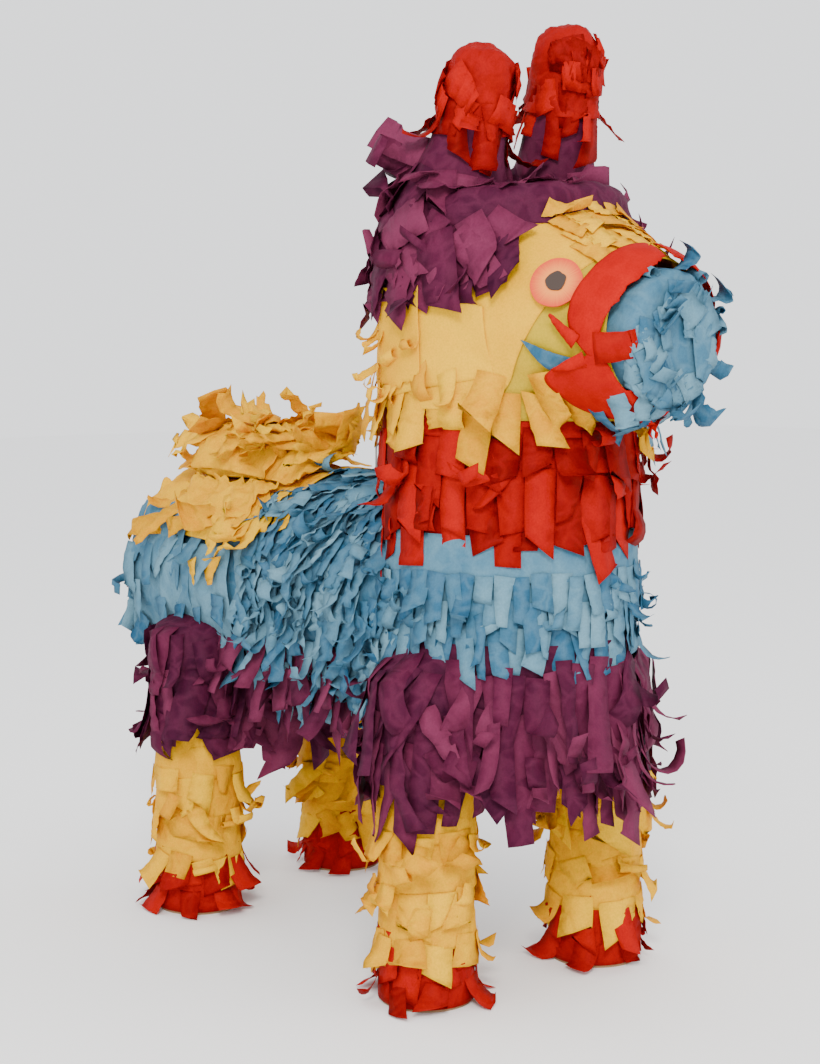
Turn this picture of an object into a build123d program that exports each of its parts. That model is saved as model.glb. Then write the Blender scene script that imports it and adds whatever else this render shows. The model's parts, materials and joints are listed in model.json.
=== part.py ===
"""Donkey pinata: rolled-board tubes and discs, glued together and dressed in tissue-paper fringe.

Frame: +Z up, the donkey faces -Y, its left side is +X. The origin is the centre of the footprint,
on the surface that the four hooves stand on. Millimetres.
"""

import math
import os

from build123d import *

# ---- driving dimensions ------------------------------------------------------------------
BOARD = 2.0             # wall of the big tubes, and the thickness of every disc
LEG_BOARD = 1.6         # wall of the leg, muzzle and ear rolls
TISSUE = 4.0            # layered fringe on the big tubes
LEG_TISSUE = 3.0        # layered fringe on the legs and hooves
SLIT = 0.3              # knife cut round the flap

TUBE_R = 72.0           # neck and barrel, outside
LEG_R = 27.0            # legs, outside
FRONT_Y = -102.0        # the upright neck tube
RUMP_Y = 206.0          # back end of the barrel tube
LEGS = {                # where each leg stands: glued by eye, so not quite square
    "front_right": (-66.0, -104.0),
    "front_left": (64.0, -112.0),
    "rear_right": (-69.0, 134.0),
    "rear_left": (69.0, 154.0),
}

BARREL_Z = 224.0        # axis of the barrel
NECK_FOOT_Z = 150.0     # underside of the neck tube
CROWN_Z = 452.0         # top of the head
CROWN_R = 61.0          # the head narrows to this
CROWN_Y = -94.0         # and slopes back to here
LEG_TOP_Z = 186.0       # leg rolls run up beside the tubes to here

HOOF_Z = 45.0           # red below this
FRONT_KNEE_Z = 108.0    # yellow below this on the front legs
REAR_KNEE_Z = 98.0      # and on the rear legs
CHEST_Z = 200.0         # purple below this round the chest
RUMP_SKIRT_Z = 190.0    # purple below this round the rump
COLLAR_Z = 268.0        # blue below this
JAW_Z = 340.0           # red below this
HAIRLINE_Z = 412.0      # yellow below this, purple above

MUZZLE_Z = 383.0        # axis of the muzzle roll
MUZZLE_R = 33.0
MUZZLE_Y = -229.0       # front of the muzzle roll
SNOUT_Y = -212.0        # small end of the snout cone
CHEEK_Y = -140.0        # wide end of the snout cone
CHEEK_Z = 396.0
CHEEK_R = 62.0

EAR_X = 38.0            # foot of each ear
EAR_Y = -93.0
EAR_FOOT_R = 24.0
EAR_TIP_R = 14.5
EAR_CONE = 84.0         # length of the rolled cone
EAR_TISSUE = 2.6
EAR_BAND = 46.0         # purple up to here, red above
EAR_FORWARD = 13.0      # lean towards the nose, degrees
EAR_INWARD = 4.0        # lean towards each other, degrees
EARS = {"right": (-1, 97.0), "left": (1, 115.0)}   # which side of the centre plane, full length

HOLE_X = 34.0           # half-width of the filling hole, across the back
HOLE_Y = (64.0, 148.0)  # its two ends

LOOP_Y = 22.0           # hanging wire, just behind the neck
LOOP_HALF = 3.7         # half the distance between its two sides
LOOP_TOP_Z = 313.0      # centre of its top bend
WIRE_R = 0.7
STICK_R = 3.0           # stick inside the barrel that the wire goes round
STICK_LENGTH = 46.0

TAIL_ROOT_Z = 284.0
TAIL_STANDOFF = 16.5    # how far behind the rump it hangs
TAIL_LENGTH = 82.0
TAIL_BARE = 14.0        # bare paper before the red strips start
TAIL_R = 2.5
TASSEL_R = 7.5
TASSEL_LENGTH = 86.0
TAIL_WAY = Vector(-0.62, 0, -0.78).normalized()

EYE_R = 14.4
PUPIL_R = 5.2
EYE_CARD = 0.8
EYE_Y = -184.0
EYE_ANGLE = 30.0        # up round the snout from level

os.makedirs("parts", exist_ok=True)


# ---- shapes that repeat --------------------------------------------------------------------
def rod_z(x, y, radius, low, high):
    """An upright solid cylinder."""
    return Pos(x, y, (low + high) / 2) * Cylinder(radius, high - low)


def rod_y(z, radius, front, back):
    """A level solid cylinder on the centre plane, along Y."""
    return Pos(0, (front + back) / 2, z) * Rot(90, 0, 0) * Cylinder(radius, back - front)


def block(x, y, z):
    """A box from three (low, high) pairs."""
    size = [high - low for low, high in (x, y, z)]
    middle = [(high + low) / 2 for low, high in (x, y, z)]
    return Pos(*middle) * Box(*size)


def cone_z(foot_r, top_r, height):
    """An upright truncated cone standing on the origin."""
    return Pos(0, 0, height / 2) * Cone(foot_r, top_r, height)


def save(name, shape):
    """Writes one node, named after its file."""
    shape.label = name
    export_step(shape, f"parts/{name}.step")


def crown_solid(extra):
    """The narrowing top of the head, grown by extra."""
    foot = Plane(origin=(0, FRONT_Y, HAIRLINE_Z), z_dir=(0, 0, 1)) * Circle(TUBE_R + extra)
    top = Plane(origin=(0, CROWN_Y, CROWN_Z), z_dir=(0, 0, 1)) * Circle(CROWN_R + extra)
    return loft([foot, top])


NECK = rod_z(0, FRONT_Y, TUBE_R, NECK_FOOT_Z, HAIRLINE_Z)
NECK_DRESSED = rod_z(0, FRONT_Y, TUBE_R + TISSUE, NECK_FOOT_Z, HAIRLINE_Z)
HEAD = NECK + crown_solid(0)
BARREL = rod_y(BARREL_Z, TUBE_R, FRONT_Y, RUMP_Y)
BARREL_DRESSED = rod_y(BARREL_Z, TUBE_R + TISSUE, FRONT_Y, RUMP_Y + TISSUE)
HOLE = block((-HOLE_X, HOLE_X), HOLE_Y, (BARREL_Z, CROWN_Z))


# ---- board structure -----------------------------------------------------------------------
def make_neck():
    """The upright tube of chest and neck, the narrowing crown, and a disc glued over each end."""
    bore = rod_z(0, FRONT_Y, TUBE_R - BOARD, NECK_FOOT_Z, HAIRLINE_Z)
    save("neck_tube", (NECK - bore) & block((-99, 99), (-299, 99), (NECK_FOOT_Z + BOARD, HAIRLINE_Z)))
    save("chest_disc", rod_z(0, FRONT_Y, TUBE_R, NECK_FOOT_Z, NECK_FOOT_Z + BOARD))
    below_disc = block((-99, 99), (-299, 99), (HAIRLINE_Z, CROWN_Z - BOARD))
    save("crown_cone", (crown_solid(0) - crown_solid(-BOARD)) & below_disc)
    save("crown_disc", crown_solid(0) & block((-99, 99), (-299, 99), (CROWN_Z - BOARD, CROWN_Z)))


def loop_wire():
    """Centre line of the hanging wire: a tall ring round the stick and up through the back."""
    low = stick_z()
    middle = Pos(LOOP_Y, (low + LOOP_TOP_Z) / 2)
    ring = Plane.YZ * middle * SlotOverall(LOOP_TOP_Z - low + 2 * LOOP_HALF, 2 * LOOP_HALF, rotation=90)
    return ring.wire()


def stick_z():
    """The height of the hanging stick's axis, its ends bearing on the inside of the barrel."""
    return BARREL_Z + math.sqrt((TUBE_R - BOARD) ** 2 - (STICK_LENGTH / 2) ** 2) - STICK_R


def make_hanger():
    """A wire ring that hangs the pinata from a short stick lying under the top of the barrel."""
    path = loop_wire()
    start = path.edges()[0]
    section = Plane(origin=start @ 0, z_dir=start % 0) * Circle(WIRE_R)
    save("hanging_wire", sweep(section, path=path))
    save("hanger_stick", Pos(0, LOOP_Y, stick_z()) * Rot(0, 90, 0) * Cylinder(STICK_R, STICK_LENGTH))


def wire_holes():
    """Two pricked holes in the top of the barrel for the wire's two sides."""
    return [rod_z(0, LOOP_Y + side * LOOP_HALF, WIRE_R + 0.3, BARREL_Z, CROWN_Z) for side in (-1, 1)]


def make_barrel():
    """The level body tube, fish-mouthed to the neck, with its filling hole, flap and rump disc."""
    end = RUMP_Y - BOARD
    tube = rod_y(BARREL_Z, TUBE_R, FRONT_Y, end) - rod_y(BARREL_Z, TUBE_R - BOARD, FRONT_Y, end)
    flap_ends = (HOLE_Y[0] + SLIT, HOLE_Y[1] - SLIT)
    save("fill_flap", tube & block((-HOLE_X + SLIT, HOLE_X - SLIT), flap_ends, (BARREL_Z, CROWN_Z)))
    tube = tube - NECK - HOLE
    for hole in wire_holes():
        tube = tube - hole
    save("barrel_tube", tube)
    save("rump_disc", rod_y(BARREL_Z, TUBE_R, end, RUMP_Y))


def make_legs():
    """Four board rolls, notched at the top to seat against the neck or barrel, each on a sole disc."""
    for name, (x, y) in LEGS.items():
        roll = rod_z(x, y, LEG_R, BOARD, LEG_TOP_Z) - rod_z(x, y, LEG_R - LEG_BOARD, BOARD, LEG_TOP_Z)
        save(f"leg_roll_{name}", biggest(roll - NECK - BARREL))
        save(f"sole_disc_{name}", rod_z(x, y, LEG_R, 0, BOARD))


def snout_solid(extra):
    """The snout's outside, from the round muzzle end to the broad cheeks, grown by extra."""
    small = Plane(origin=(0, SNOUT_Y, MUZZLE_Z), z_dir=(0, 1, 0)) * Circle(MUZZLE_R + LEG_BOARD + extra)
    wide = Plane(origin=(0, CHEEK_Y, CHEEK_Z), z_dir=(0, 1, 0)) * Circle(CHEEK_R + extra)
    return loft([small, wide])


def muzzle_rod(extra):
    """The muzzle roll as a solid, grown by extra, running back into the head."""
    return rod_y(MUZZLE_Z, MUZZLE_R + extra, MUZZLE_Y, FRONT_Y)


def make_snout():
    """The cone between head and muzzle, the muzzle roll and the disc that closes it."""
    room = block((-99, 99), (-299, 99), (0, CROWN_Z + 99))
    cone = snout_solid(0) - snout_solid(-LEG_BOARD) - muzzle_rod(0)
    save("snout_cone", biggest((cone - HEAD) & room))
    roll = muzzle_rod(0) - muzzle_rod(-LEG_BOARD)
    save("muzzle_roll", biggest(roll - HEAD))
    save("muzzle_disc", rod_y(MUZZLE_Z, MUZZLE_R, MUZZLE_Y - BOARD, MUZZLE_Y))


def ear_place(side):
    """Where an ear stands, with its lean."""
    sign = EARS[side][0]
    return Pos(sign * EAR_X, EAR_Y, CROWN_Z) * Rot(EAR_FORWARD, -sign * EAR_INWARD, 0)


def ear_outside(extra, length):
    """The ear's cone grown by extra, cut off at a length from its foot."""
    share = length / EAR_CONE
    top_r = EAR_FOOT_R + (EAR_TIP_R - EAR_FOOT_R) * share
    return cone_z(EAR_FOOT_R + extra, top_r + extra, length)


def above_crown(shape):
    """Trims a leaning foot flush with the top of the head."""
    return shape & block((-99, 99), (-299, 99), (CROWN_Z, CROWN_Z + 199))


def make_ears():
    """Rolled cones under a purple sleeve and a red cap that rounds the tip."""
    for side, (_, full_length) in EARS.items():
        place = ear_place(side)
        cone = ear_outside(0, EAR_CONE) - ear_outside(-LEG_BOARD, EAR_CONE)
        save(f"ear_cone_{side}", above_crown(place * cone))
        dressed = ear_outside(EAR_TISSUE, EAR_CONE) - ear_outside(0, EAR_CONE)
        low = Pos(0, 0, EAR_BAND / 2) * Box(99, 99, EAR_BAND)
        save(f"ear_sleeve_{side}", above_crown(place * (dressed & low)))
        cap_r = EAR_TIP_R + EAR_TISSUE
        dome = Pos(0, 0, full_length - cap_r) * Sphere(cap_r)
        cap = dome
        if full_length - cap_r > EAR_CONE:
            cap = dome + rod_z(0, 0, cap_r, EAR_CONE, full_length - cap_r)
        cap = cap & (Pos(0, 0, EAR_CONE + 50) * Box(99, 99, 100))
        save(f"ear_cap_{side}", place * ((dressed - low) + cap))


# ---- tissue paper --------------------------------------------------------------------------
def make_leg_dressing():
    """A red wrap round each hoof and yellow fringe above it."""
    for name, (x, y) in LEGS.items():
        knee = FRONT_KNEE_Z if name.startswith("front") else REAR_KNEE_Z
        outside = LEG_R + LEG_TISSUE
        save(f"hoof_wrap_{name}", rod_z(x, y, outside, 0.3, HOOF_Z) - rod_z(x, y, LEG_R, 0, HOOF_Z))
        save(f"leg_fringe_{name}", rod_z(x, y, outside, HOOF_Z, knee) - rod_z(x, y, LEG_R, HOOF_Z, knee))


def legs_solid(names, radius, low, high):
    """The named legs as solid cylinders."""
    return [rod_z(*LEGS[name], radius, low, high) for name in names]


def skirt(middle, names, low, high, closed_above):
    """A hanging curtain round two legs: solid against the tubes, hollow below closed_above."""
    wall = TISSUE
    outside = middle(0)
    inside = middle(-wall)
    for leg in legs_solid(names, LEG_R + wall + 1, low, high):
        outside = outside + leg
    for leg in legs_solid(names, LEG_R + 1, low, high):
        inside = inside + leg
    curtain = outside - (inside & block((-199, 199), (-299, 299), (low, closed_above)))
    for leg in legs_solid(names, LEG_R, low, LEG_TOP_Z):
        curtain = curtain - leg
    return curtain


def make_skirts():
    """Purple fringe round the chest and front legs, and round the rump and rear legs."""
    chest = skirt(
        lambda grow: rod_z(0, FRONT_Y, TUBE_R + TISSUE + grow, FRONT_KNEE_Z, CHEST_Z),
        ("front_right", "front_left"), FRONT_KNEE_Z, CHEST_Z, NECK_FOOT_Z,
    )
    save("chest_fringe_purple", biggest(chest - NECK - BARREL_DRESSED))
    half = TUBE_R - 8
    height = (REAR_KNEE_Z, RUMP_SKIRT_Z)
    front, back = RUMP_Y - 94, RUMP_Y + TISSUE
    rump = skirt(
        lambda grow: block((-half - grow, half + grow), (front - grow, back + grow), height),
        ("rear_right", "rear_left"), *height, BARREL_Z - TUBE_R - 8,
    )
    save("rump_fringe_purple", biggest(rump - BARREL_DRESSED))


def biggest(shape):
    """The largest solid of a cut shape, without its loose slivers."""
    return max(shape.solids(), key=lambda solid: solid.volume)


def make_neck_dressing():
    """Blue, red, yellow and purple fringe bands up the neck tube."""
    snout = snout_solid(TISSUE)
    for name, low, high, extra in (
        ("chest_fringe_blue", CHEST_Z, COLLAR_Z, TISSUE),
        ("neck_fringe_red", COLLAR_Z, JAW_Z, TISSUE),
        ("face_cover_yellow", JAW_Z, HAIRLINE_Z, TISSUE - 1),
    ):
        band = rod_z(0, FRONT_Y, TUBE_R + extra, low, high) - NECK - BARREL_DRESSED - snout
        save(name, biggest(band))
    ears = [above_crown(ear_place(side) * ear_outside(EAR_TISSUE, EAR_CONE)) for side in EARS]
    save("hair_fringe_purple", biggest(crown_solid(TISSUE) - crown_solid(0) - snout))
    lid = rod_z(0, CROWN_Y, CROWN_R + TISSUE, CROWN_Z, CROWN_Z + 3)
    for ear in ears:
        lid = lid - ear
    save("crown_fringe_purple", biggest(lid))


def make_face():
    """Yellow cover on the snout, red halter, blue muzzle fringe, and the printed eyes."""
    front = SNOUT_Y + 10
    halter_room = rod_y(MUZZLE_Z, 60, SNOUT_Y - 4, front)
    below_crown = block((-99, 99), (-299, 99), (0, CROWN_Z))
    cover = snout_solid(TISSUE) - snout_solid(0) - HEAD - halter_room
    save("snout_cover_yellow", biggest(cover & below_crown))
    halter = rod_y(MUZZLE_Z, MUZZLE_R + 9, SNOUT_Y - 4, front) - snout_solid(0)
    save("halter_red", halter - muzzle_rod(0))
    dressed = rod_y(MUZZLE_Z, MUZZLE_R + TISSUE, MUZZLE_Y - BOARD - 3, SNOUT_Y - 4)
    core = rod_y(MUZZLE_Z, MUZZLE_R, MUZZLE_Y - BOARD, SNOUT_Y)
    save("muzzle_fringe_blue", dressed - core)
    for side, (sign, _) in EARS.items():
        face = eye_plane(sign)
        save(f"eye_disc_{side}", face * (Pos(0, 0, EYE_CARD / 2) * Cylinder(EYE_R, EYE_CARD)))
        save(f"pupil_{side}", face * (Pos(0, 0, EYE_CARD + 0.15) * Cylinder(PUPIL_R, 0.3)))


def eye_plane(sign):
    """A plane lying on the snout's yellow cover where an eye is stuck."""
    share = (EYE_Y - SNOUT_Y) / (CHEEK_Y - SNOUT_Y)
    small_r = MUZZLE_R + LEG_BOARD + TISSUE
    flare = (CHEEK_R + TISSUE - small_r) / (CHEEK_Y - SNOUT_Y)
    drop = (CHEEK_Z - MUZZLE_Z) / (CHEEK_Y - SNOUT_Y)
    radius = small_r + flare * (EYE_Y - SNOUT_Y)
    across = math.cos(math.radians(EYE_ANGLE))
    up = math.sin(math.radians(EYE_ANGLE))
    centre_z = MUZZLE_Z + (CHEEK_Z - MUZZLE_Z) * share
    point = (sign * radius * across, EYE_Y, centre_z + radius * up)
    return Plane(origin=point, z_dir=(sign * across, -flare - drop * up, up))


def make_barrel_dressing():
    """Blue fringe round the barrel and over the rump, with a clear margin round the filling hole."""
    margin = 3.0
    hinge_margin = 12.0
    window_x = (-HOLE_X - margin, HOLE_X + hinge_margin)
    window = block(window_x, (HOLE_Y[0] - margin, HOLE_Y[1] + margin), (BARREL_Z, CROWN_Z))
    sleeve = rod_y(BARREL_Z, TUBE_R + TISSUE, FRONT_Y, RUMP_Y) - BARREL - NECK_DRESSED - window
    for leg in legs_solid(LEGS, LEG_R, 0, LEG_TOP_Z):
        sleeve = sleeve - leg
    for hole in wire_holes():
        sleeve = sleeve - hole
    save("barrel_fringe_blue", biggest(sleeve))
    save("rump_cover_blue", rod_y(BARREL_Z, TUBE_R + TISSUE, RUMP_Y, RUMP_Y + TISSUE))
    saddle_r = TUBE_R + 2 * TISSUE
    saddle = rod_y(BARREL_Z, saddle_r, HOLE_Y[0] - 24, RUMP_Y - 4)
    saddle = saddle - rod_y(BARREL_Z, TUBE_R + TISSUE, 0, RUMP_Y)
    saddle = (saddle & block((-99, 99), (0, 299), (BARREL_Z + 14, CROWN_Z))) - window
    save("saddle_yellow", biggest(saddle))


def make_flap_dressing():
    """The gathered yellow tissue on the flap, thick in the middle and clear of the crease."""
    inset = 1.5
    clear_of_crease = HOLE_X - 14
    plug = rod_y(BARREL_Z, TUBE_R + 2 * TISSUE + 1, HOLE_Y[0] + inset, HOLE_Y[1] - inset) - BARREL
    plug = plug & block((-HOLE_X + inset, clear_of_crease), HOLE_Y, (BARREL_Z, CROWN_Z))
    mound_z = BARREL_Z + 44
    front, back = HOLE_Y[0] - 20, RUMP_Y - 10
    mound = Pos(-10, (front + back) / 2, mound_z) * Rot(90, 0, 0) * Cylinder(58, back - front)
    mound = mound - rod_y(BARREL_Z, TUBE_R + 2 * TISSUE + 0.6, front, back)
    mound = mound & block((-HOLE_X - 12, clear_of_crease), (front, back), (BARREL_Z + 62, CROWN_Z))
    save("flap_cover_yellow", biggest(mound + plug))


def make_tail():
    """A rolled-paper tail glued high on the rump, swung to the right, with red strips round it."""
    rump = RUMP_Y + TISSUE
    root = Vector(0, rump, TAIL_ROOT_Z)
    bend = Vector(0, rump + TAIL_STANDOFF, TAIL_ROOT_Z)
    tip = bend + TAIL_LENGTH * TAIL_WAY
    path = FilletPolyline(root, bend, tip, radius=TAIL_STANDOFF * 0.7)
    core = sweep(Plane(origin=root, z_dir=(0, 1, 0)) * Circle(TAIL_R), path=path)
    along = Plane(origin=bend + TAIL_BARE * TAIL_WAY, z_dir=TAIL_WAY)
    tassel = Pos(0, 0, TASSEL_LENGTH / 2) * Cylinder(TASSEL_R, TASSEL_LENGTH)
    save("tail_core", core)
    save("tail_tassel_red", along * tassel - core)


make_neck()
make_hanger()
make_barrel()
make_legs()
make_snout()
make_ears()
make_leg_dressing()
make_skirts()
make_neck_dressing()
make_face()
make_barrel_dressing()
make_flap_dressing()
make_tail()
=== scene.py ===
import json
import math
import random

import bpy
import numpy as np
from mathutils import Matrix, Vector, noise
from mathutils.bvhtree import BVHTree


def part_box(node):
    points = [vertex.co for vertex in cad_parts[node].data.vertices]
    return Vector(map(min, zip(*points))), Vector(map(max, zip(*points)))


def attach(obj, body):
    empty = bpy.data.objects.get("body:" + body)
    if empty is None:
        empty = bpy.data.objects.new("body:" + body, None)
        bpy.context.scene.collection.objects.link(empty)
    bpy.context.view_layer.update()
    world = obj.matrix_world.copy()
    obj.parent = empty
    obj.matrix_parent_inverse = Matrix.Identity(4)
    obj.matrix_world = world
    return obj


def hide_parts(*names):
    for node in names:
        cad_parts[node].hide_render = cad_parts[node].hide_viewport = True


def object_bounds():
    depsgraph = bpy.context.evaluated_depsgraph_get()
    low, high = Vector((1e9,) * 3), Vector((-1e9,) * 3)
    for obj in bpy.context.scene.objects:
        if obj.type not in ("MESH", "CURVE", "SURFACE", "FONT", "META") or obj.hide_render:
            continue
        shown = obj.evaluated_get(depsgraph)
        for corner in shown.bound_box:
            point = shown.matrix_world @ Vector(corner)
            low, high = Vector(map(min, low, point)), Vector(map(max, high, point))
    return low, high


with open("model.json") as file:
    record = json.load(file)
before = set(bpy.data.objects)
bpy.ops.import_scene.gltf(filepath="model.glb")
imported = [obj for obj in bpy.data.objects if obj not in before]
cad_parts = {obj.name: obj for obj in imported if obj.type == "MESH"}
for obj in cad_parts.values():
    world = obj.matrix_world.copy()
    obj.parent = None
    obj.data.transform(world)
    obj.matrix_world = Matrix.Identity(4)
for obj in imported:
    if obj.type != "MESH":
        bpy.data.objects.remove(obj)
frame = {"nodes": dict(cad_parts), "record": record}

cad_low, cad_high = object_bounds()

FULL = 2 * math.pi

# ---- where the structure is, read from the frame ---------------------------------------------
def middle(node):
    """The middle of a node's box."""
    low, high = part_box(node)
    return (low + high) / 2


def reach(node):
    """Half of a node's box each way."""
    low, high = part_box(node)
    return (high - low) / 2


NECK = middle("neck_tube")
TUBE_R = reach("neck_tube").x
BARREL = middle("barrel_tube")
BARREL_Z = BARREL.z
NECK_BACK = NECK.y + TUBE_R
RUMP_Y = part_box("rump_disc")[1].y
CROWN = middle("crown_disc")
CROWN_R = reach("crown_disc").x
CROWN_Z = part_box("crown_disc")[1].z
HAIRLINE_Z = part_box("crown_cone")[0].z
COLLAR_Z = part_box("chest_fringe_blue")[1].z
JAW_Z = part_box("neck_fringe_red")[1].z
CHEST_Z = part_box("chest_fringe_blue")[0].z
MUZZLE = middle("muzzle_disc")
MUZZLE_R = reach("muzzle_disc").x
MUZZLE_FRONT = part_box("muzzle_disc")[0].y
LEG_NAMES = ("front_right", "front_left", "rear_right", "rear_left")
LEG_R = reach("sole_disc_front_right").x


# ---- camera ------------------------------------------------------------------------------------
def make_camera():
    """A three-quarter view from the donkey's front right, level with its cheek."""
    data = bpy.data.cameras.new("portrait_camera")
    data.lens = 62.6
    camera = bpy.data.objects.new("portrait_camera", data)
    camera.location = (-0.7406, -0.9096, 0.3798)
    camera.rotation_euler = (math.pi / 2 - 0.101, 0, -0.688)
    bpy.context.scene.collection.objects.link(camera)
    bpy.context.scene.camera = camera


make_camera()


# ---- floor and light ---------------------------------------------------------------------------
def deselect():
    """Leaves nothing selected."""
    bpy.ops.object.select_all(action="DESELECT")


def make_stage():
    """A pale seamless floor."""
    deselect()
    bpy.ops.mesh.primitive_plane_add(size=12, location=(0, 0, 0))
    floor = bpy.context.object
    floor.name = "studio_floor"
    paper = bpy.data.materials.new("studio_paper")
    paper.use_nodes = True
    shader = paper.node_tree.nodes["Principled BSDF"]
    shader.inputs["Base Color"].default_value = (0.95, 0.95, 0.95, 1)
    shader.inputs["Roughness"].default_value = 0.9
    floor.data.materials.append(paper)


def make_light(name, place, target, size, power, tint=(1, 1, 1)):
    """A square soft box aimed at a point."""
    data = bpy.data.lights.new(name, "AREA")
    data.size = size
    data.energy = power
    data.color = tint
    lamp = bpy.data.objects.new(name, data)
    lamp.location = place
    lamp.rotation_euler = (Vector(place) - Vector(target)).to_track_quat("Z", "Y").to_euler()
    bpy.context.scene.collection.objects.link(lamp)


def make_lights():
    """A soft white surround, a warm key from the right front and a weak fill."""
    world = bpy.data.worlds.new("studio_world")
    world.use_nodes = True
    background = world.node_tree.nodes["Background"]
    background.inputs["Color"].default_value = (0.97, 0.98, 1.0, 1)
    background.inputs["Strength"].default_value = 1.7
    bpy.context.scene.world = world
    make_light("key_box", (-1.3, -1.5, 1.5), (0, -0.05, 0.28), 0.55, 52, (1.0, 0.95, 0.88))
    make_light("fill_box", (1.4, -1.5, 0.7), (0, -0.05, 0.25), 1.2, 6, (1.0, 0.98, 0.96))


make_stage()
make_lights()


# ---- shader groups -----------------------------------------------------------------------------
def new_group(name, inputs, outputs):
    """An empty shader group with its sockets, each given as (kind, name, value)."""
    tree = bpy.data.node_groups.new(name, "ShaderNodeTree")
    for kind, label, value in inputs:
        socket = tree.interface.new_socket(label, in_out="INPUT", socket_type=kind)
        socket.default_value = value
    for kind, label in outputs:
        tree.interface.new_socket(label, in_out="OUTPUT", socket_type=kind)
    return tree, tree.nodes.new("NodeGroupInput"), tree.nodes.new("NodeGroupOutput")


def add_node(tree, kind, links=None, **settings):
    """A node with its settings made and its inputs linked or given values."""
    node = tree.nodes.new(kind)
    for key, value in settings.items():
        setattr(node, key, value)
    for key, source in (links or {}).items():
        socket = node.inputs[key]
        if isinstance(source, bpy.types.NodeSocket):
            tree.links.new(source, socket)
        else:
            socket.default_value = source
    return node


def make_crease_group():
    """Crumple: broad soft folds, sharp crossing creases and a fine tooth, as a height and a mask."""
    tree, given, put = new_group(
        "paper_crumple",
        [("NodeSocketFloat", "Crease Scale", 90.0), ("NodeSocketFloat", "Tooth", 0.15)],
        [("NodeSocketFloat", "Height"), ("NodeSocketFloat", "Ridge")],
    )
    where = add_node(tree, "ShaderNodeTexCoord").outputs["Object"]
    bend = add_node(tree, "ShaderNodeTexNoise", {"Vector": where, "Scale": 45.0, "Detail": 2.0})
    shift = add_node(tree, "ShaderNodeVectorMath", {0: bend.outputs["Color"], 1: (0.02, 0.02, 0.02)},
                     operation="MULTIPLY")
    moved = add_node(tree, "ShaderNodeVectorMath", {0: where, 1: shift.outputs[0]}, operation="ADD")
    cells = add_node(tree, "ShaderNodeTexVoronoi", {"Vector": moved.outputs[0], "Scale": given.outputs[0]},
                     feature="DISTANCE_TO_EDGE")
    edge = add_node(tree, "ShaderNodeMapRange", {"Value": cells.outputs["Distance"], "From Max": 0.35},
                    interpolation_type="SMOOTHSTEP")
    soft = add_node(tree, "ShaderNodeTexNoise", {"Vector": where, "Scale": 160.0, "Detail": 3.0})
    tooth = add_node(tree, "ShaderNodeTexNoise", {"Vector": where, "Scale": 2200.0, "Detail": 2.0})
    first = add_node(tree, "ShaderNodeMath", {0: edge.outputs[0], 1: 0.55, 2: soft.outputs["Fac"]},
                     operation="MULTIPLY_ADD")
    last = add_node(tree, "ShaderNodeMath", {0: tooth.outputs["Fac"], 1: given.outputs[1],
                                             2: first.outputs[0]},
                    operation="MULTIPLY_ADD")
    tree.links.new(last.outputs[0], put.inputs["Height"])
    tree.links.new(edge.outputs[0], put.inputs["Ridge"])
    return tree


def make_dye_group():
    """Tissue dye: each strip a little different, mottled, and paler along its creases."""
    tree, given, put = new_group(
        "tissue_dye",
        [("NodeSocketColor", "Deep", (0, 0, 0, 1)), ("NodeSocketColor", "Main", (1, 1, 1, 1)),
         ("NodeSocketColor", "Thin", (1, 1, 1, 1)), ("NodeSocketFloat", "Ridge", 1.0),
         ("NodeSocketFloat", "Fade", 0.4)],
        [("NodeSocketColor", "Color")],
    )
    where = add_node(tree, "ShaderNodeTexCoord").outputs["Object"]
    tone = add_node(tree, "ShaderNodeAttribute", attribute_name="tone")
    blotch = add_node(tree, "ShaderNodeTexNoise", {"Vector": where, "Scale": 38.0, "Detail": 4.0,
                                                   "Roughness": 0.62})
    grain = add_node(tree, "ShaderNodeTexNoise", {"Vector": where, "Scale": 900.0, "Detail": 3.0})
    mixed = add_node(tree, "ShaderNodeMath", {0: blotch.outputs["Fac"], 1: 0.9, 2: tone.outputs["Fac"]},
                     operation="MULTIPLY_ADD")
    spread = add_node(tree, "ShaderNodeMapRange", {"Value": mixed.outputs[0], "From Min": 0.35,
                                                   "From Max": 1.25})
    body = add_node(tree, "ShaderNodeMix", {0: spread.outputs[0], 6: given.outputs["Deep"],
                                            7: given.outputs["Main"]},
                    data_type="RGBA")
    thin = add_node(tree, "ShaderNodeMapRange", {"Value": mixed.outputs[0], "From Min": 0.9,
                                                 "From Max": 1.5})
    thin_part = add_node(tree, "ShaderNodeMath", {0: thin.outputs[0], 1: given.outputs["Fade"]},
                         operation="MULTIPLY")
    faded = add_node(tree, "ShaderNodeMix", {0: thin_part.outputs[0], 6: body.outputs[2],
                                             7: given.outputs["Thin"]},
                     data_type="RGBA")
    worn = add_node(tree, "ShaderNodeMapRange",
                    {"Value": given.outputs["Ridge"], "From Max": 0.6, "To Min": 0.16, "To Max": 0.0})
    creased = add_node(tree, "ShaderNodeMix", {0: worn.outputs[0], 6: faded.outputs[2],
                                               7: given.outputs["Thin"]},
                       data_type="RGBA")
    fleck = add_node(tree, "ShaderNodeMapRange", {"Value": grain.outputs["Fac"], "From Min": 0.3,
                                                  "From Max": 0.7,
                                                  "To Min": 0.9, "To Max": 1.06})
    final = add_node(tree, "ShaderNodeVectorMath", {0: creased.outputs[2], "Scale": fleck.outputs[0]},
                     operation="SCALE")
    tree.links.new(final.outputs[0], put.inputs["Color"])
    return tree


CRUMPLE = make_crease_group()
DYE = make_dye_group()


# ---- materials ---------------------------------------------------------------------------------
TISSUE_ROUGHNESS = 0.62
TISSUE_SHINE = 0.08
LIGHT_THROUGH = 0.3     # share of the light that goes through the paper


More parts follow.
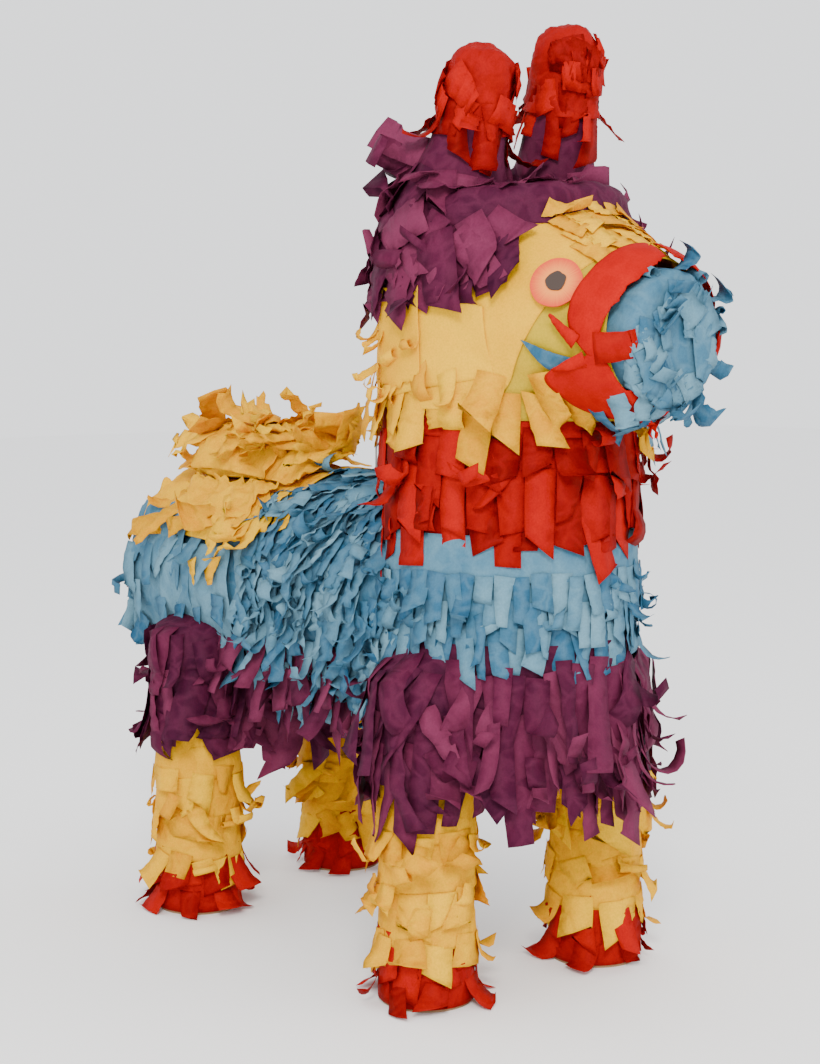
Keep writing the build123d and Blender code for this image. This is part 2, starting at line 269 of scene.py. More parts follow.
def tissue(name, deep, main, thin, fade=0.4, crease=90.0, bump=0.5):
    """Dyed tissue paper: dull, creased, and a little light shows through it."""
    paper = bpy.data.materials.new(name)
    paper.use_nodes = True
    tree = paper.node_tree
    shader = tree.nodes["Principled BSDF"]
    out = tree.nodes["Material Output"]
    crumple = add_node(tree, "ShaderNodeGroup", node_tree=CRUMPLE)
    crumple.inputs["Crease Scale"].default_value = crease
    dye = add_node(tree, "ShaderNodeGroup", node_tree=DYE)
    tree.links.new(crumple.outputs["Ridge"], dye.inputs["Ridge"])
    for key, colour in (("Deep", deep), ("Main", main), ("Thin", thin)):
        dye.inputs[key].default_value = (*colour, 1)
    dye.inputs["Fade"].default_value = fade
    tree.links.new(dye.outputs["Color"], shader.inputs["Base Color"])
    relief = add_node(tree, "ShaderNodeBump", {"Height": crumple.outputs["Height"], "Strength": bump,
                                               "Distance": 0.0012})
    tree.links.new(relief.outputs["Normal"], shader.inputs["Normal"])
    shader.inputs["Roughness"].default_value = TISSUE_ROUGHNESS
    shader.inputs["Specular IOR Level"].default_value = TISSUE_SHINE
    through = add_node(tree, "ShaderNodeBsdfTranslucent", {"Color": dye.outputs["Color"],
                                                          "Normal": relief.outputs["Normal"]})
    both = add_node(tree, "ShaderNodeMixShader", {0: LIGHT_THROUGH, 1: shader.outputs[0],
                                                  2: through.outputs[0]})
    tree.links.new(both.outputs[0], out.inputs["Surface"])
    return paper


RED = tissue("red_tissue", (0.17, 0.0008, 0.001), (0.43, 0.0020, 0.0016), (0.58, 0.012, 0.006))
# The halter is the same red tissue as the rest, given a brighter colour: painted light where the band faces
# the lamps. Its finer, fainter crease is its own.
LIT_HALTER_RED = tissue("halter_red_tissue", (0.33, 0.0015, 0.001), (0.55, 0.003, 0.0015), (0.66, 0.015, 0.006),
                    crease=60.0, bump=0.2)
BLUE = tissue("blue_tissue", (0.024, 0.115, 0.225), (0.095, 0.245, 0.350), (0.23, 0.41, 0.50), fade=0.6)
PURPLE = tissue("purple_tissue", (0.044, 0.004, 0.024), (0.142, 0.015, 0.053), (0.24, 0.045, 0.105),
                fade=0.6)
YELLOW = tissue("yellow_tissue", (0.72, 0.30, 0.001), (0.93, 0.50, 0.002), (0.96, 0.63, 0.012), fade=0.5,
                bump=0.75)
FACE = tissue("face_yellow_tissue", (0.80, 0.37, 0.001), (0.93, 0.50, 0.002), (0.96, 0.61, 0.010), fade=0.5,
              crease=34.0, bump=0.45)
OLIVE = tissue("yellow_over_blue", (0.46, 0.36, 0.015), (0.68, 0.46, 0.015), (0.82, 0.56, 0.03), fade=0.5,
               crease=40.0, bump=0.2)


def board_material():
    """Plain brown board: fibre flecks, a faint bump and rubbed lighter patches."""
    board = bpy.data.materials.new("brown_board")
    board.use_nodes = True
    tree = board.node_tree
    shader = tree.nodes["Principled BSDF"]
    where = add_node(tree, "ShaderNodeTexCoord").outputs["Object"]
    flecks = add_node(tree, "ShaderNodeTexNoise", {"Vector": where, "Scale": 1300.0, "Detail": 4.0})
    cloud = add_node(tree, "ShaderNodeTexNoise", {"Vector": where, "Scale": 30.0, "Detail": 3.0})
    total = add_node(tree, "ShaderNodeMath", {0: flecks.outputs["Fac"], 1: 0.5, 2: cloud.outputs["Fac"]},
                     operation="MULTIPLY_ADD")
    ramp = add_node(tree, "ShaderNodeMapRange", {"Value": total.outputs[0], "From Min": 0.45,
                                                 "From Max": 1.05})
    tint = add_node(tree, "ShaderNodeMix", {0: ramp.outputs[0], 6: (0.19, 0.10, 0.045, 1),
                                            7: (0.36, 0.22, 0.11, 1)},
                    data_type="RGBA")
    relief = add_node(tree, "ShaderNodeBump", {"Height": total.outputs[0], "Strength": 0.3,
                                               "Distance": 0.0006})
    tree.links.new(tint.outputs[2], shader.inputs["Base Color"])
    tree.links.new(relief.outputs["Normal"], shader.inputs["Normal"])
    shader.inputs["Roughness"].default_value = 0.85
    return board


def wire_material():
    """Drawn steel wire, dulled by handling."""
    wire = bpy.data.materials.new("steel_wire")
    wire.use_nodes = True
    tree = wire.node_tree
    shader = tree.nodes["Principled BSDF"]
    where = add_node(tree, "ShaderNodeTexCoord").outputs["Object"]
    film = add_node(tree, "ShaderNodeTexNoise", {"Vector": where, "Scale": 900.0, "Detail": 3.0})
    dull = add_node(tree, "ShaderNodeMapRange", {"Value": film.outputs["Fac"], "To Min": 0.28,
                                                 "To Max": 0.5})
    tree.links.new(dull.outputs[0], shader.inputs["Roughness"])
    shader.inputs["Metallic"].default_value = 1.0
    shader.inputs["Base Color"].default_value = (0.46, 0.45, 0.43, 1)
    return wire


def stick_material():
    """A pale split stick: grain runs along it, the way it crosses the body."""
    stick = bpy.data.materials.new("split_stick")
    stick.use_nodes = True
    tree = stick.node_tree
    shader = tree.nodes["Principled BSDF"]
    where = add_node(tree, "ShaderNodeTexCoord").outputs["Object"]
    along = add_node(tree, "ShaderNodeMapping", {"Vector": where, "Scale": (25.0, 700.0, 700.0)})
    grain = add_node(tree, "ShaderNodeTexNoise", {"Vector": along.outputs[0], "Scale": 1.0, "Detail": 4.0})
    tint = add_node(tree, "ShaderNodeMix", {0: grain.outputs["Fac"], 6: (0.30, 0.17, 0.07, 1),
                                            7: (0.62, 0.43, 0.23, 1)},
                    data_type="RGBA")
    tree.links.new(tint.outputs[2], shader.inputs["Base Color"])
    shader.inputs["Roughness"].default_value = 0.7
    return stick


BOARD = board_material()
WIRE = wire_material()
STICK = stick_material()


# ---- strips, drawn once each and copied ---------------------------------------------------------
# How each kind of cut strip turns, in degrees, over its steps from root to tip. Positive turns it away
# from the board.
TURNS = {
    "hanging": (3, -2, 4, -3, 2, -4, 3, 2, -2),
    "limp": (8, -6, -5, 4, 5, -6, -4, 6, 4),
    "lifted": (6, 8, 5, 3, 4, 2, 6, 3, 4),
    "flicked": (2, 3, 4, 6, 9, 14, 18, 20, 16),
    "hooked": (4, 2, 6, 14, 26, 34, 36, 30, 22),
    "curled": (0, 8, 22, 38, 48, 52, 54, 56, 58),
    "tucked": (16, 6, -4, -16, -26, -24, -18, -10, -6),
    "folded": (4, 2, 0, 58, 66, 4, -6, 2, 3),
    "kinked": (26, -4, -34, 6, 30, -6, -28, 12, 10),
    "looped": (46, 26, 24, 34, 40, 38, 28, 20, 10),
}
STRIP_THICKNESS = 0.007     # beside a length of one


def draw_strip(name, turns):
    """One cut strip a unit wide and a unit long, drawn out step by step and turned as it goes."""
    step = 1 / (len(turns) + 1)
    deselect()
    bpy.ops.mesh.primitive_grid_add(x_subdivisions=2, y_subdivisions=1, size=1)
    strip = bpy.context.object
    strip.name = name
    bpy.ops.object.mode_set(mode="EDIT")
    bpy.ops.transform.resize(value=(1, step, 1))
    bpy.ops.transform.translate(value=(0, -step / 2, 0))
    bpy.ops.mesh.select_all(action="DESELECT")
    bpy.ops.object.mode_set(mode="OBJECT")
    for vertex in strip.data.vertices:
        vertex.select = vertex.co.y < -step / 2
    for edge in strip.data.edges:
        edge.select = all(strip.data.vertices[i].select for i in edge.vertices)
    bpy.ops.object.mode_set(mode="EDIT")
    bpy.context.tool_settings.mesh_select_mode = (False, True, False)
    heading = 0.0
    for turn in turns:
        heading += math.radians(turn)
        ahead = (0, -step * math.cos(heading), step * math.sin(heading))
        bpy.ops.mesh.extrude_edges_move(TRANSFORM_OT_translate={"value": ahead})
    bpy.ops.object.mode_set(mode="OBJECT")
    bpy.context.tool_settings.mesh_select_mode = (True, False, False)
    rows = len(turns) + 2
    along = strip.data.attributes.new("along", "FLOAT", "POINT")
    order = travelled(strip, rows)
    along.data.foreach_set("value", order)
    strip.data.attributes.new("tone", "FLOAT", "POINT")
    shell = strip.modifiers.new("thickness", "SOLIDIFY")
    shell.thickness = STRIP_THICKNESS
    shell.offset = 0
    bpy.ops.object.modifier_apply(modifier=shell.name)
    bpy.ops.object.shade_smooth()
    return strip


def travelled(strip, rows):
    """How far along the strip each of its points is, from 0 at the root to 1 at the tip."""
    share = [0.0] * len(strip.data.vertices)
    for index, vertex in enumerate(strip.data.vertices):
        if index < 6:
            share[index] = 0.0 if vertex.co.y > -1e-6 else 1 / (rows - 1)
        else:
            share[index] = (2 + (index - 6) // 3) / (rows - 1)
    return share


class Strip:
    """A drawn strip and the measures that laying it out needs."""

    def __init__(self, name, turns):
        self.model = draw_strip("strip_" + name, turns)
        mesh = self.model.data
        count = len(mesh.vertices)
        flat = np.empty(count * 3, np.float32)
        mesh.vertices.foreach_get("co", flat)
        self.points = flat.reshape(-1, 3).astype(float)
        self.along = np.empty(count, np.float32)
        mesh.attributes["along"].data.foreach_get("value", self.along)
        self.along = np.round(self.along.astype(float), 4)
        self.spine = np.zeros((count, 2))
        for share in np.unique(self.along):
            row = self.along == share
            self.spine[row] = self.points[row, 1:].mean(axis=0)
        self.half = count // 2


STRIPS = {name: Strip(name, turns) for name, turns in TURNS.items()}


# ---- surfaces that strips and sheets are laid on ------------------------------------------------
def on_tube(centre, radius):
    """Round an upright tube or cone: a is the angle from the nose side towards the right, v the height."""
    def place(a, v, x, y, out):
        height = v + y
        r = radius(a - x / TUBE_R, height) if callable(radius) else radius
        angle = a - x / np.maximum(r, 0.004)
        found = np.stack([-(r + out) * np.sin(angle), -(r + out) * np.cos(angle), height], axis=1)
        return found + np.array((centre.x, centre.y, 0.0))
    return place


HANG_FROM = math.radians(100)


def on_barrel(radius, side):
    """Down one side of the level barrel: a is the place along it, v the angle down from the top."""
    def place(a, v, x, y, out):
        arc = v * radius - y
        turned = max(HANG_FROM, v)
        angle = np.minimum(arc / radius, turned)
        free = np.maximum(arc - turned * radius, 0)
        return np.stack([-side * (radius + out) * np.sin(angle),
                         a - side * x,
                         BARREL_Z + (radius + out) * np.cos(angle) - free], axis=1)
    return place


def on_rump(y_face):
    """Down the flat back of the barrel: a is the place across, v the height."""
    def place(a, v, x, y, out):
        return np.stack([a - x, np.full_like(x, y_face) + out, v + y], axis=1)
    return place


# ---- laying strips ------------------------------------------------------------------------------
def lay(kind, place, a, v, width, length, rng, lean=0.0, lift=0.0, twist=0.0, bow=0.0, out=0.0, taper=0.0,
        slant=0.0, crumple=0.0005, tone=None):
    """Copies a strip on to a surface with its root at (a, v), and returns the copy."""
    strip = STRIPS[kind]
    piece = strip.model.copy()
    piece.data = strip.model.data.copy()
    bpy.context.scene.collection.objects.link(piece)
    t = strip.along
    across = strip.points[:, 0] * width * (1 - taper * t)
    cross = (strip.points[:, 1:] - strip.spine) * length
    spine = strip.spine * length
    phi = twist * t
    x = across * np.cos(phi) + bow * length * t * t
    y = spine[:, 0] + cross[:, 0] - slant * across * t ** 14
    z = spine[:, 1] + cross[:, 1] + across * np.sin(phi)
    wobble = np.array([rng.gauss(0, crumple) for _ in range(strip.half)])
    z = z + np.tile(wobble, 2) * (0.3 + t)
    y, z = y * math.cos(lift) + z * math.sin(lift), z * math.cos(lift) - y * math.sin(lift)
    x, y = x * math.cos(lean) - y * math.sin(lean), x * math.sin(lean) + y * math.cos(lean)
    found = place(a, v, x, y, z + out)
    piece.data.vertices.foreach_set("co", found.astype(np.float32).ravel())
    shade = rng.random() if tone is None else tone
    piece.data.attributes["tone"].data.foreach_set("value", np.full(len(t), shade, np.float32))
    return piece


def join(name, *layers):
    """Makes one object of several; each layer is a list of pieces and their material."""
    deselect()
    for pieces, material in layers:
        for piece in pieces:
            piece.data.materials.clear()
            piece.data.materials.append(material)
            piece.select_set(True)
    bpy.context.view_layer.objects.active = layers[0][0][0]
    bpy.ops.object.join()
    whole = bpy.context.object
    whole.name = name
    whole.data.name = name
    return whole


WIDEST = (cad_high.x - cad_low.x) / 2 + 0.003
OVER_WIDEST = 0.40     # of what stands out further, how much is left


def finish_piece(piece, body, slot, *nodes):
    """Draws in the tips that stand out furthest, fastens a piece to its body and hides the frame parts it
    stands for.
    """
    flat = np.empty(len(piece.data.vertices) * 3, np.float32)
    piece.data.vertices.foreach_get("co", flat)
    points = flat.reshape(-1, 3)
    excess = np.maximum(np.abs(points[:, 0]) - WIDEST, 0)
    points[:, 0] -= np.sign(points[:, 0]) * excess * (1 - OVER_WIDEST)
    piece.data.vertices.foreach_set("co", points.ravel())
    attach(piece, body)
    if nodes:
        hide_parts(*nodes)


def pick(rng, mix):
    """A kind of strip, by the weights in mix."""
    kinds = list(mix)
    return rng.choices(kinds, [mix[kind] for kind in kinds])[0]


def fringe_row(place, start, end, v, width, length, mix, rng, spread=0.25, unit=1.0, lean=0.06, lift=0.06,
               twist=0.25, out=0.001, crumple=0.0003, bow=0.06, overlap=0.9, drift=0.0):
    """A row of cut strips side by side from start to end; unit turns a width into the surface's own a."""
    strips = []
    at = start
    while at < end:
        wide = width * rng.uniform(1 - spread, 1 + spread)
        strips.append(lay(
            pick(rng, mix), place, at, v + rng.uniform(-1, 1) * drift, wide,
            length * rng.triangular(0.6, 1.3, 1.0), rng, lean=rng.gauss(0, lean),
            lift=abs(rng.gauss(0, lift)), twist=rng.gauss(0, twist), bow=rng.gauss(0, bow),
            out=out + rng.uniform(0, 0.0009), taper=rng.choice((0, 0, 0, 0, 0.12, 0.5)),
            slant=rng.choice((0, 0, 0.4, -0.5, 0.8)), crumple=crumple,
        ))
        at += wide * unit * overlap
    return strips


SKIN_FOLDS = 45.0       # folds to the metre in a plain sheet
SKIN_THICKNESS = 0.0004


def skin(name, place, a0, a1, v0, v1, columns, rows, out, rng_seed, wrinkle=0.0008, tone=0.5, closed=False,
         tuck=0.0):
    """A sheet of tissue laid on a surface between two angles and two heights, softly wrinkled."""
    deselect()
    bpy.ops.mesh.primitive_grid_add(x_subdivisions=columns, y_subdivisions=rows, size=1)
    sheet = bpy.context.object
    sheet.name = name
    count = len(sheet.data.vertices)
    flat = np.empty(count * 3, np.float32)
    sheet.data.vertices.foreach_get("co", flat)
    grid = flat.reshape(-1, 3).astype(float)
    across = 0.5 - grid[:, 0]
    up = grid[:, 1] + 0.5
    a = a0 + (a1 - a0) * across
    v = v0 + (v1 - v0) * up
    zero = np.zeros(count)
    found = np.array([place(a[i], v[i], zero[:1], zero[:1], zero[:1])[0] for i in range(count)])
    lifted = np.array([
        out - tuck * up[i] + wrinkle * folds(Vector(found[i]) * SKIN_FOLDS, rng_seed) for i in range(count)
    ])
    found = np.array([place(a[i], v[i], zero[:1], zero[:1], lifted[i:i + 1])[0] for i in range(count)])
    sheet.data.vertices.foreach_set("co", found.astype(np.float32).ravel())
    if closed:
        bpy.ops.object.mode_set(mode="EDIT")
        bpy.ops.mesh.select_all(action="SELECT")
        bpy.ops.mesh.remove_doubles(threshold=0.0002)
        bpy.ops.mesh.normals_make_consistent(inside=False)
        bpy.ops.object.mode_set(mode="OBJECT")
    return thicken(sheet, SKIN_THICKNESS, tone)


def folds(point, seed):
    """Crossing ridges and hollows of crumpled paper, about -1 to 1."""
    moved = point + Vector((seed * 3.1, seed * 1.7, seed * 0.9))
    broad = noise.noise(moved * 0.45)
    ridge = 1 - 2 * abs(noise.noise(moved))
    fine = 1 - 2 * abs(noise.noise(moved * 2.3))
    return 0.8 * broad + 0.5 * ridge + 0.25 * fine - 0.4


# ---- neck, chest and skirts ---------------------------------------------------------------------
NECK_FLOOR = Vector((NECK.x, NECK.y, 0))
AROUND = {"unit": 1 / TUBE_R}
FLAT_MIX = {"hanging": 7, "limp": 5, "lifted": 0.4, "flicked": 0.6, "tucked": 0.8}
WILD_MIX = {"hanging": 2, "limp": 3, "lifted": 2, "flicked": 3, "hooked": 2, "curled": 1.2, "tucked": 2,
            "kinked": 2}


def cut_band(place, start, end, v, header, width, length, mix, rng, out, tone=0.55, wrinkle=0.0007, **how):
    """A strip of tissue pasted along its uncut top edge, with its lower part cut into a fringe."""
    top = skin("band_header", place, start, end, v - header - 0.004, v, 90, 8, out, rng.randint(0, 99),
               wrinkle=wrinkle, tone=tone, tuck=0.0018)
    return [top] + fringe_row(place, start, end, v - header, width, length, mix, rng, out=out + 0.0004,
                              overlap=0.97, **how)


def make_neck_red():
    """Three red rows round the neck, over one plain sheet."""
    rng = random.Random(11)
    place = on_tube(NECK_FLOOR, TUBE_R)
    parts = [skin("neck_backing", place, -math.pi, math.pi, COLLAR_Z - 0.002, JAW_Z + 0.004, 90, 8, 0.0006,
                  4, tone=0.1, wrinkle=0.0002)]
    rows = ((COLLAR_Z + 0.040, 0.012, 0.040, 0.0012, 0.016),
            (COLLAR_Z + 0.058, 0.014, 0.036, 0.0026, 0.017),
            (JAW_Z + 0.010, 0.018, 0.030, 0.004, 0.015))
    for v, header, length, out, width in rows:
        parts += cut_band(place, -math.pi, math.pi, v, header, width, length, FLAT_MIX, rng, out, lift=0.05,
                          twist=0.16, drift=0.005, lean=0.12, **AROUND)
    parts += strays(place, -1.2, 2.6, COLLAR_Z + 0.034, JAW_Z - 0.010, 12, 0.010, 0.034, rng, lift=0.2)
    whole = join("neck_red_fringe", (parts, RED))
    finish_piece(whole, "donkey", "tissue_red", "neck_fringe_red")


def strays(place, a0, a1, v0, v1, count, width, length, rng, lift=0.35, lean=0.6, mix=None):
    """Loose strips that stand off the rows at odd angles."""
    mix = mix or {"flicked": 2, "hooked": 2, "curled": 1, "kinked": 2, "tucked": 1, "folded": 1,
                  "looped": 0.5}
    loose = []
    for _ in range(count):
        loose.append(lay(
            pick(rng, mix), place, rng.uniform(a0, a1), rng.uniform(v0, v1), width * rng.uniform(0.6, 1.2),
            length * rng.uniform(0.6, 1.3), rng, lean=rng.gauss(0, lean), lift=abs(rng.gauss(0, lift)),
            twist=rng.gauss(0, 0.5), bow=rng.gauss(0, 0.2), out=0.0045, taper=rng.choice((0, 0, 0.2, 0.5)),
            slant=rng.choice((0, 0.5, -0.5)),
        ))
    return loose


def make_chest_blue():
    """Three blue rows round the front of the chest."""
    rng = random.Random(12)
    place = on_tube(NECK_FLOOR, TUBE_R)
    wide = math.pi * 0.74
    parts = [skin("chest_backing", place, -wide, wide, CHEST_Z - 0.004, COLLAR_Z + 0.004, 90, 8, 0.0006, 4,
                  tone=0.1, wrinkle=0.0002)]
    parts += cut_band(place, -wide, wide, CHEST_Z + 0.030, 0.008, 0.0105, 0.032, FLAT_MIX, rng, 0.0012,
                      lift=0.08, twist=0.25, drift=0.002, lean=0.1, **AROUND)
    parts += cut_band(place, -wide, wide, CHEST_Z + 0.052, 0.014, 0.0085, 0.026, FLAT_MIX, rng, 0.0026,
                      lift=0.07, twist=0.25, drift=0.002, lean=0.08, **AROUND)
    parts += cut_band(place, -wide, wide, COLLAR_Z + 0.006, 0.022, 0.0105, 0.026, FLAT_MIX, rng, 0.0040,
                      lift=0.05, twist=0.2, drift=0.002, lean=0.08, **AROUND)
    parts += strays(place, -2.0, 2.2, CHEST_Z + 0.022, COLLAR_Z - 0.010, 26, 0.0075, 0.022, rng, lift=0.04)
    whole = join("chest_blue_fringe", (parts, BLUE))
    finish_piece(whole, "donkey", "tissue_blue", "chest_fringe_blue")


def round_legs(centre, base, legs, low, high):
    """The outline round a tube and the two legs beside it, easing back to the tube above the legs."""
    rings = [(middle(f"sole_disc_{name}") - centre, LEG_R + 0.003) for name in legs]

    def radius(angle, height):
        ahead = np.stack([-np.sin(angle), -np.cos(angle)], axis=-1)
        widest = np.full(np.shape(angle), base, float)
        for offset, ring in rings:
            along = ahead[..., 0] * offset.x + ahead[..., 1] * offset.y
            inside = ring * ring - (offset.x ** 2 + offset.y ** 2 - along * along)
            hit = along + np.sqrt(np.maximum(inside, 0))
            widest = np.where((inside > 0) & (along > 0), np.maximum(widest, hit), widest)
        ease = np.clip((high - height) / (high - low), 0, 1)
        ease = ease * ease * (3 - 2 * ease)
        return base + (widest - base) * ease
    return radius


SKIRT_MIX = {"hanging": 4, "limp": 4, "lifted": 1.5, "flicked": 2, "hooked": 1, "kinked": 2, "tucked": 2,
             "curled": 0.3}


def make_chest_purple():
    """The front skirt, out round both front legs."""
    rng = random.Random(13)
    leg_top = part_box("leg_roll_front_right")[1].z
    outline = round_legs(NECK_FLOOR, TUBE_R + 0.001, LEG_NAMES[:2], leg_top + 0.002, CHEST_Z + 0.008)
    place = on_tube(NECK_FLOOR, outline)
    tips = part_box("chest_fringe_purple")[0].z
    parts = [skin("chest_purple_backing", place, -math.pi * 0.8, math.pi * 0.8, tips + 0.022,
                  CHEST_Z + 0.012, 110, 10, 0.0005, 3, tone=0.1)]
    rows = ((0.044, 0.044, 0.0008), (0.066, 0.056, 0.0016), (0.092, 0.056, 0.0030))
    for v, length, out in rows:
        parts += fringe_row(place, -2.5, 2.5, tips + v, 0.0120, length, SKIRT_MIX, rng, out=out, lift=0.05,
                            twist=0.55, drift=0.006, lean=0.20, crumple=0.0004, bow=0.14, spread=0.35,
                            overlap=0.8, **AROUND)
    parts += strays(place, -0.9, 2.3, tips + 0.040, CHEST_Z - 0.010, 22, 0.011, 0.042, rng, lift=0.15)
    whole = join("chest_purple_fringe", (parts, PURPLE))
    finish_piece(whole, "donkey", "tissue_purple", "chest_fringe_purple")


def make_rump_purple():
    """The rear skirt, and the purple rows under the belly."""
    rng = random.Random(14)
    low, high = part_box("rump_fringe_purple")
    centre = Vector((0, RUMP_Y - 0.050, 0))
    outline = round_legs(centre, TUBE_R - 0.010, LEG_NAMES[2:], high.z - 0.001, high.z + 0.014)
    place = on_tube(centre, outline)
    parts = [skin("rump_purple_backing", place, -math.pi, math.pi, low.z + 0.030, high.z + 0.012, 110, 8,
                  0.0005, 4, tone=0.1, closed=True)]
    for v, length, out in ((0.042, 0.042, 0.001), (0.064, 0.054, 0.002), (0.090, 0.054, 0.003)):
        parts += fringe_row(place, -math.pi, math.pi, low.z + v, 0.0125, length, SKIRT_MIX, rng, out=out,
                            lift=0.06, twist=0.5, drift=0.007, lean=0.2, crumple=0.0006, bow=0.14,
                            spread=0.4, **AROUND)
    parts += strays(place, 0.8, 3.0, low.z + 0.05, high.z - 0.006, 12, 0.013, 0.034, rng, lift=0.3)
    belly = on_barrel(TUBE_R + 0.001, 1)
    for v in (112, 124, 136):
        parts += fringe_row(belly, NECK_BACK + 0.012, RUMP_Y - 0.09, math.radians(v), 0.0125, 0.040,
                            SKIRT_MIX, rng, lift=0.1, twist=0.6, lean=0.14)
    other = on_barrel(TUBE_R + 0.001, -1)
    for v in (112, 130):
        parts += fringe_row(other, NECK_BACK + 0.012, RUMP_Y - 0.09, math.radians(v), 0.0125, 0.040,
                            SKIRT_MIX, rng, lift=0.1, twist=0.6, lean=0.14)
    whole = join("rump_purple_fringe", (parts, PURPLE))
    finish_piece(whole, "donkey", "tissue_purple", "rump_fringe_purple")


# ---- barrel -------------------------------------------------------------------------------------
MESSY_MIX = {"hanging": 2.5, "limp": 4, "lifted": 1.5, "flicked": 2, "hooked": 1.4, "curled": 0.7,
             "tucked": 2.5,
             "kinked": 2.5, "looped": 0.5}


def make_barrel_blue():
    """Blue flank sheets, messy strips by the neck and calmer ones behind."""
    rng = random.Random(15)
    parts = []
    hole_low, hole_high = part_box("fill_flap")
    trunk = Form("trunk_form", [between(TUBE_R, TUBE_R, (0, NECK.y, BARREL_Z), (0, RUMP_Y, BARREL_Z))],
                 voxel=0.005, rounds=2)
    spots = trunk.spots()
    parts.append(trunk.cover("rump_rim_sheet", [((0, RUMP_Y - 0.010, 0), LEVEL_BACK)], 0.0012, 6,
                             wrinkle=0.0008, tone=0.3))
    parts.append(trunk.cover("shoulder_sheet", [((0, NECK.y + 0.01, 0), LEVEL_BACK),
                                                ((0, hole_low.y - 0.004, 0), (0, -1, 0))],
                             0.0012, 4, wrinkle=0.0008, tone=0.3))
    for side in (1, -1):
        place = on_barrel(TUBE_R, side)
        shut = math.asin(max(abs(hole_low.x),
                             abs(hole_high.x)) / TUBE_R) + math.radians(3 if side == 1 else 9)
        parts.append(skin("barrel_backing", place, NECK.y, RUMP_Y, math.radians(150), shut, 60, 24, 0.0008,
                          5 + side, tone=0.3))
        sheets = (
            ((0.110, 0.207), (142, 112), 0.003, 0.45), ((0.060, 0.150), (146, 108), 0.0035, 0.7),
            ((-0.010, 0.070), (150, 118), 0.004, 0.5), ((0.130, 0.208), (118, 78), 0.005, 0.6),
            ((0.085, 0.165), (116, 74), 0.006, 0.8), ((0.020, 0.080), (152, 126), 0.007, 0.9),
            ((0.140, 0.208), (88, 52) if side == 1 else (88, 66), 0.007 if side == 1 else 0.003, 0.5),
        )
        for number, ((near, far), (low_turn, top_turn), out, tone) in enumerate(sheets):
            low_edge = [on_side(side, y, low_turn + rng.uniform(-7, 7)) for y in np.linspace(near, far, 5)]
            top_edge = [on_side(side, y, top_turn + rng.uniform(-3, 3)) for y in np.linspace(near, far, 5)]
            parts.append(trunk.patch("flank_sheet", top_edge, low_edge, 40, 22, out, number * 3 + side,
                                     wrinkle=0.0030, size=32, tone=tone, ragged=0.40))
        for angle in range(132, 34, -12):
            behind_neck = NECK.y + TUBE_R * abs(math.cos(math.radians(min(angle, 110))))
            parts += fringe_row(place, behind_neck, 0.075, math.radians(angle), 0.0085, 0.028, MESSY_MIX,
                                rng, out=0.001 + 0.002 * (angle < 110), lift=0.12, twist=0.6, drift=0.06,
                                lean=0.4, bow=0.12, crumple=0.0007)
        for angle, gap in ((120, 1.2), (98, 2.2), (72, 2.6)):
            parts += fringe_row(place, 0.075, RUMP_Y - 0.002, math.radians(angle), 0.0125, 0.026, FLAT_MIX,
                                rng, out=0.006, lift=0.06, twist=0.2, drift=0.10, lean=0.4, unit=gap,
                                crumple=0.0005)
        for angle in (24, 6):
            parts += fringe_row(place, NECK_BACK + 0.004, hole_low.y - 0.008, math.radians(angle), 0.0095,
                                0.031, MESSY_MIX, rng, out=0.002, lift=0.12, twist=0.5, drift=0.04,
                                lean=0.4)
    for start, way, kind, width, length, lift in (
        ((-0.072, 0.204, 0.214), (-0.3, 1, 0.3), "hooked", 0.006, 0.026, 0.9),
        ((-0.070, 0.206, 0.196), (-0.4, 1, -0.4), "flicked", 0.010, 0.022, 0.7),
        ((-0.070, 0.020, 0.240), (0, 0.5, -1), "curled", 0.010, 0.030, 0.4),
        ((-0.060, 0.010, 0.262), (0, -0.6, -1), "looped", 0.010, 0.034, 0.4),
    ):
        parts.append(lay(kind, spots, start, way, width, length, rng, lift=lift, twist=0.4, out=0.004))
    whole = join("barrel_blue_fringe", (parts, BLUE))
    finish_piece(whole, "donkey", "tissue_blue", "barrel_fringe_blue")
    trunk.drop()


def on_side(side, y, degrees):
    """A point on the barrel's skin, turned down from the top on the right (1) or the left (-1)."""
    turn = math.radians(degrees)
    return (-side * TUBE_R * math.sin(turn), y, BARREL_Z + TUBE_R * math.cos(turn))


def make_rump_blue():
    """Blue rows down the flat back end."""
    rng = random.Random(16)
    place = on_rump(RUMP_Y + 0.0005)
    parts = []
    for height in range(5, -5, -1):
        v = BARREL_Z + height * 0.0145
        half = math.sqrt(max(TUBE_R ** 2 - (v - BARREL_Z) ** 2, 0.0004))
        parts += fringe_row(place, -half, half, v, 0.011, 0.030, FLAT_MIX, rng, out=0.001, lift=0.08,
                            twist=0.3, drift=0.002, lean=0.1)
    whole = join("rump_blue_fringe", (parts, BLUE))
    finish_piece(whole, "donkey", "tissue_blue", "rump_cover_blue")


# ---- legs ---------------------------------------------------------------------------------------
LEG_MIX = {"hanging": 4, "limp": 4, "lifted": 1.5, "flicked": 2, "hooked": 1, "kinked": 1, "curled": 0.4}


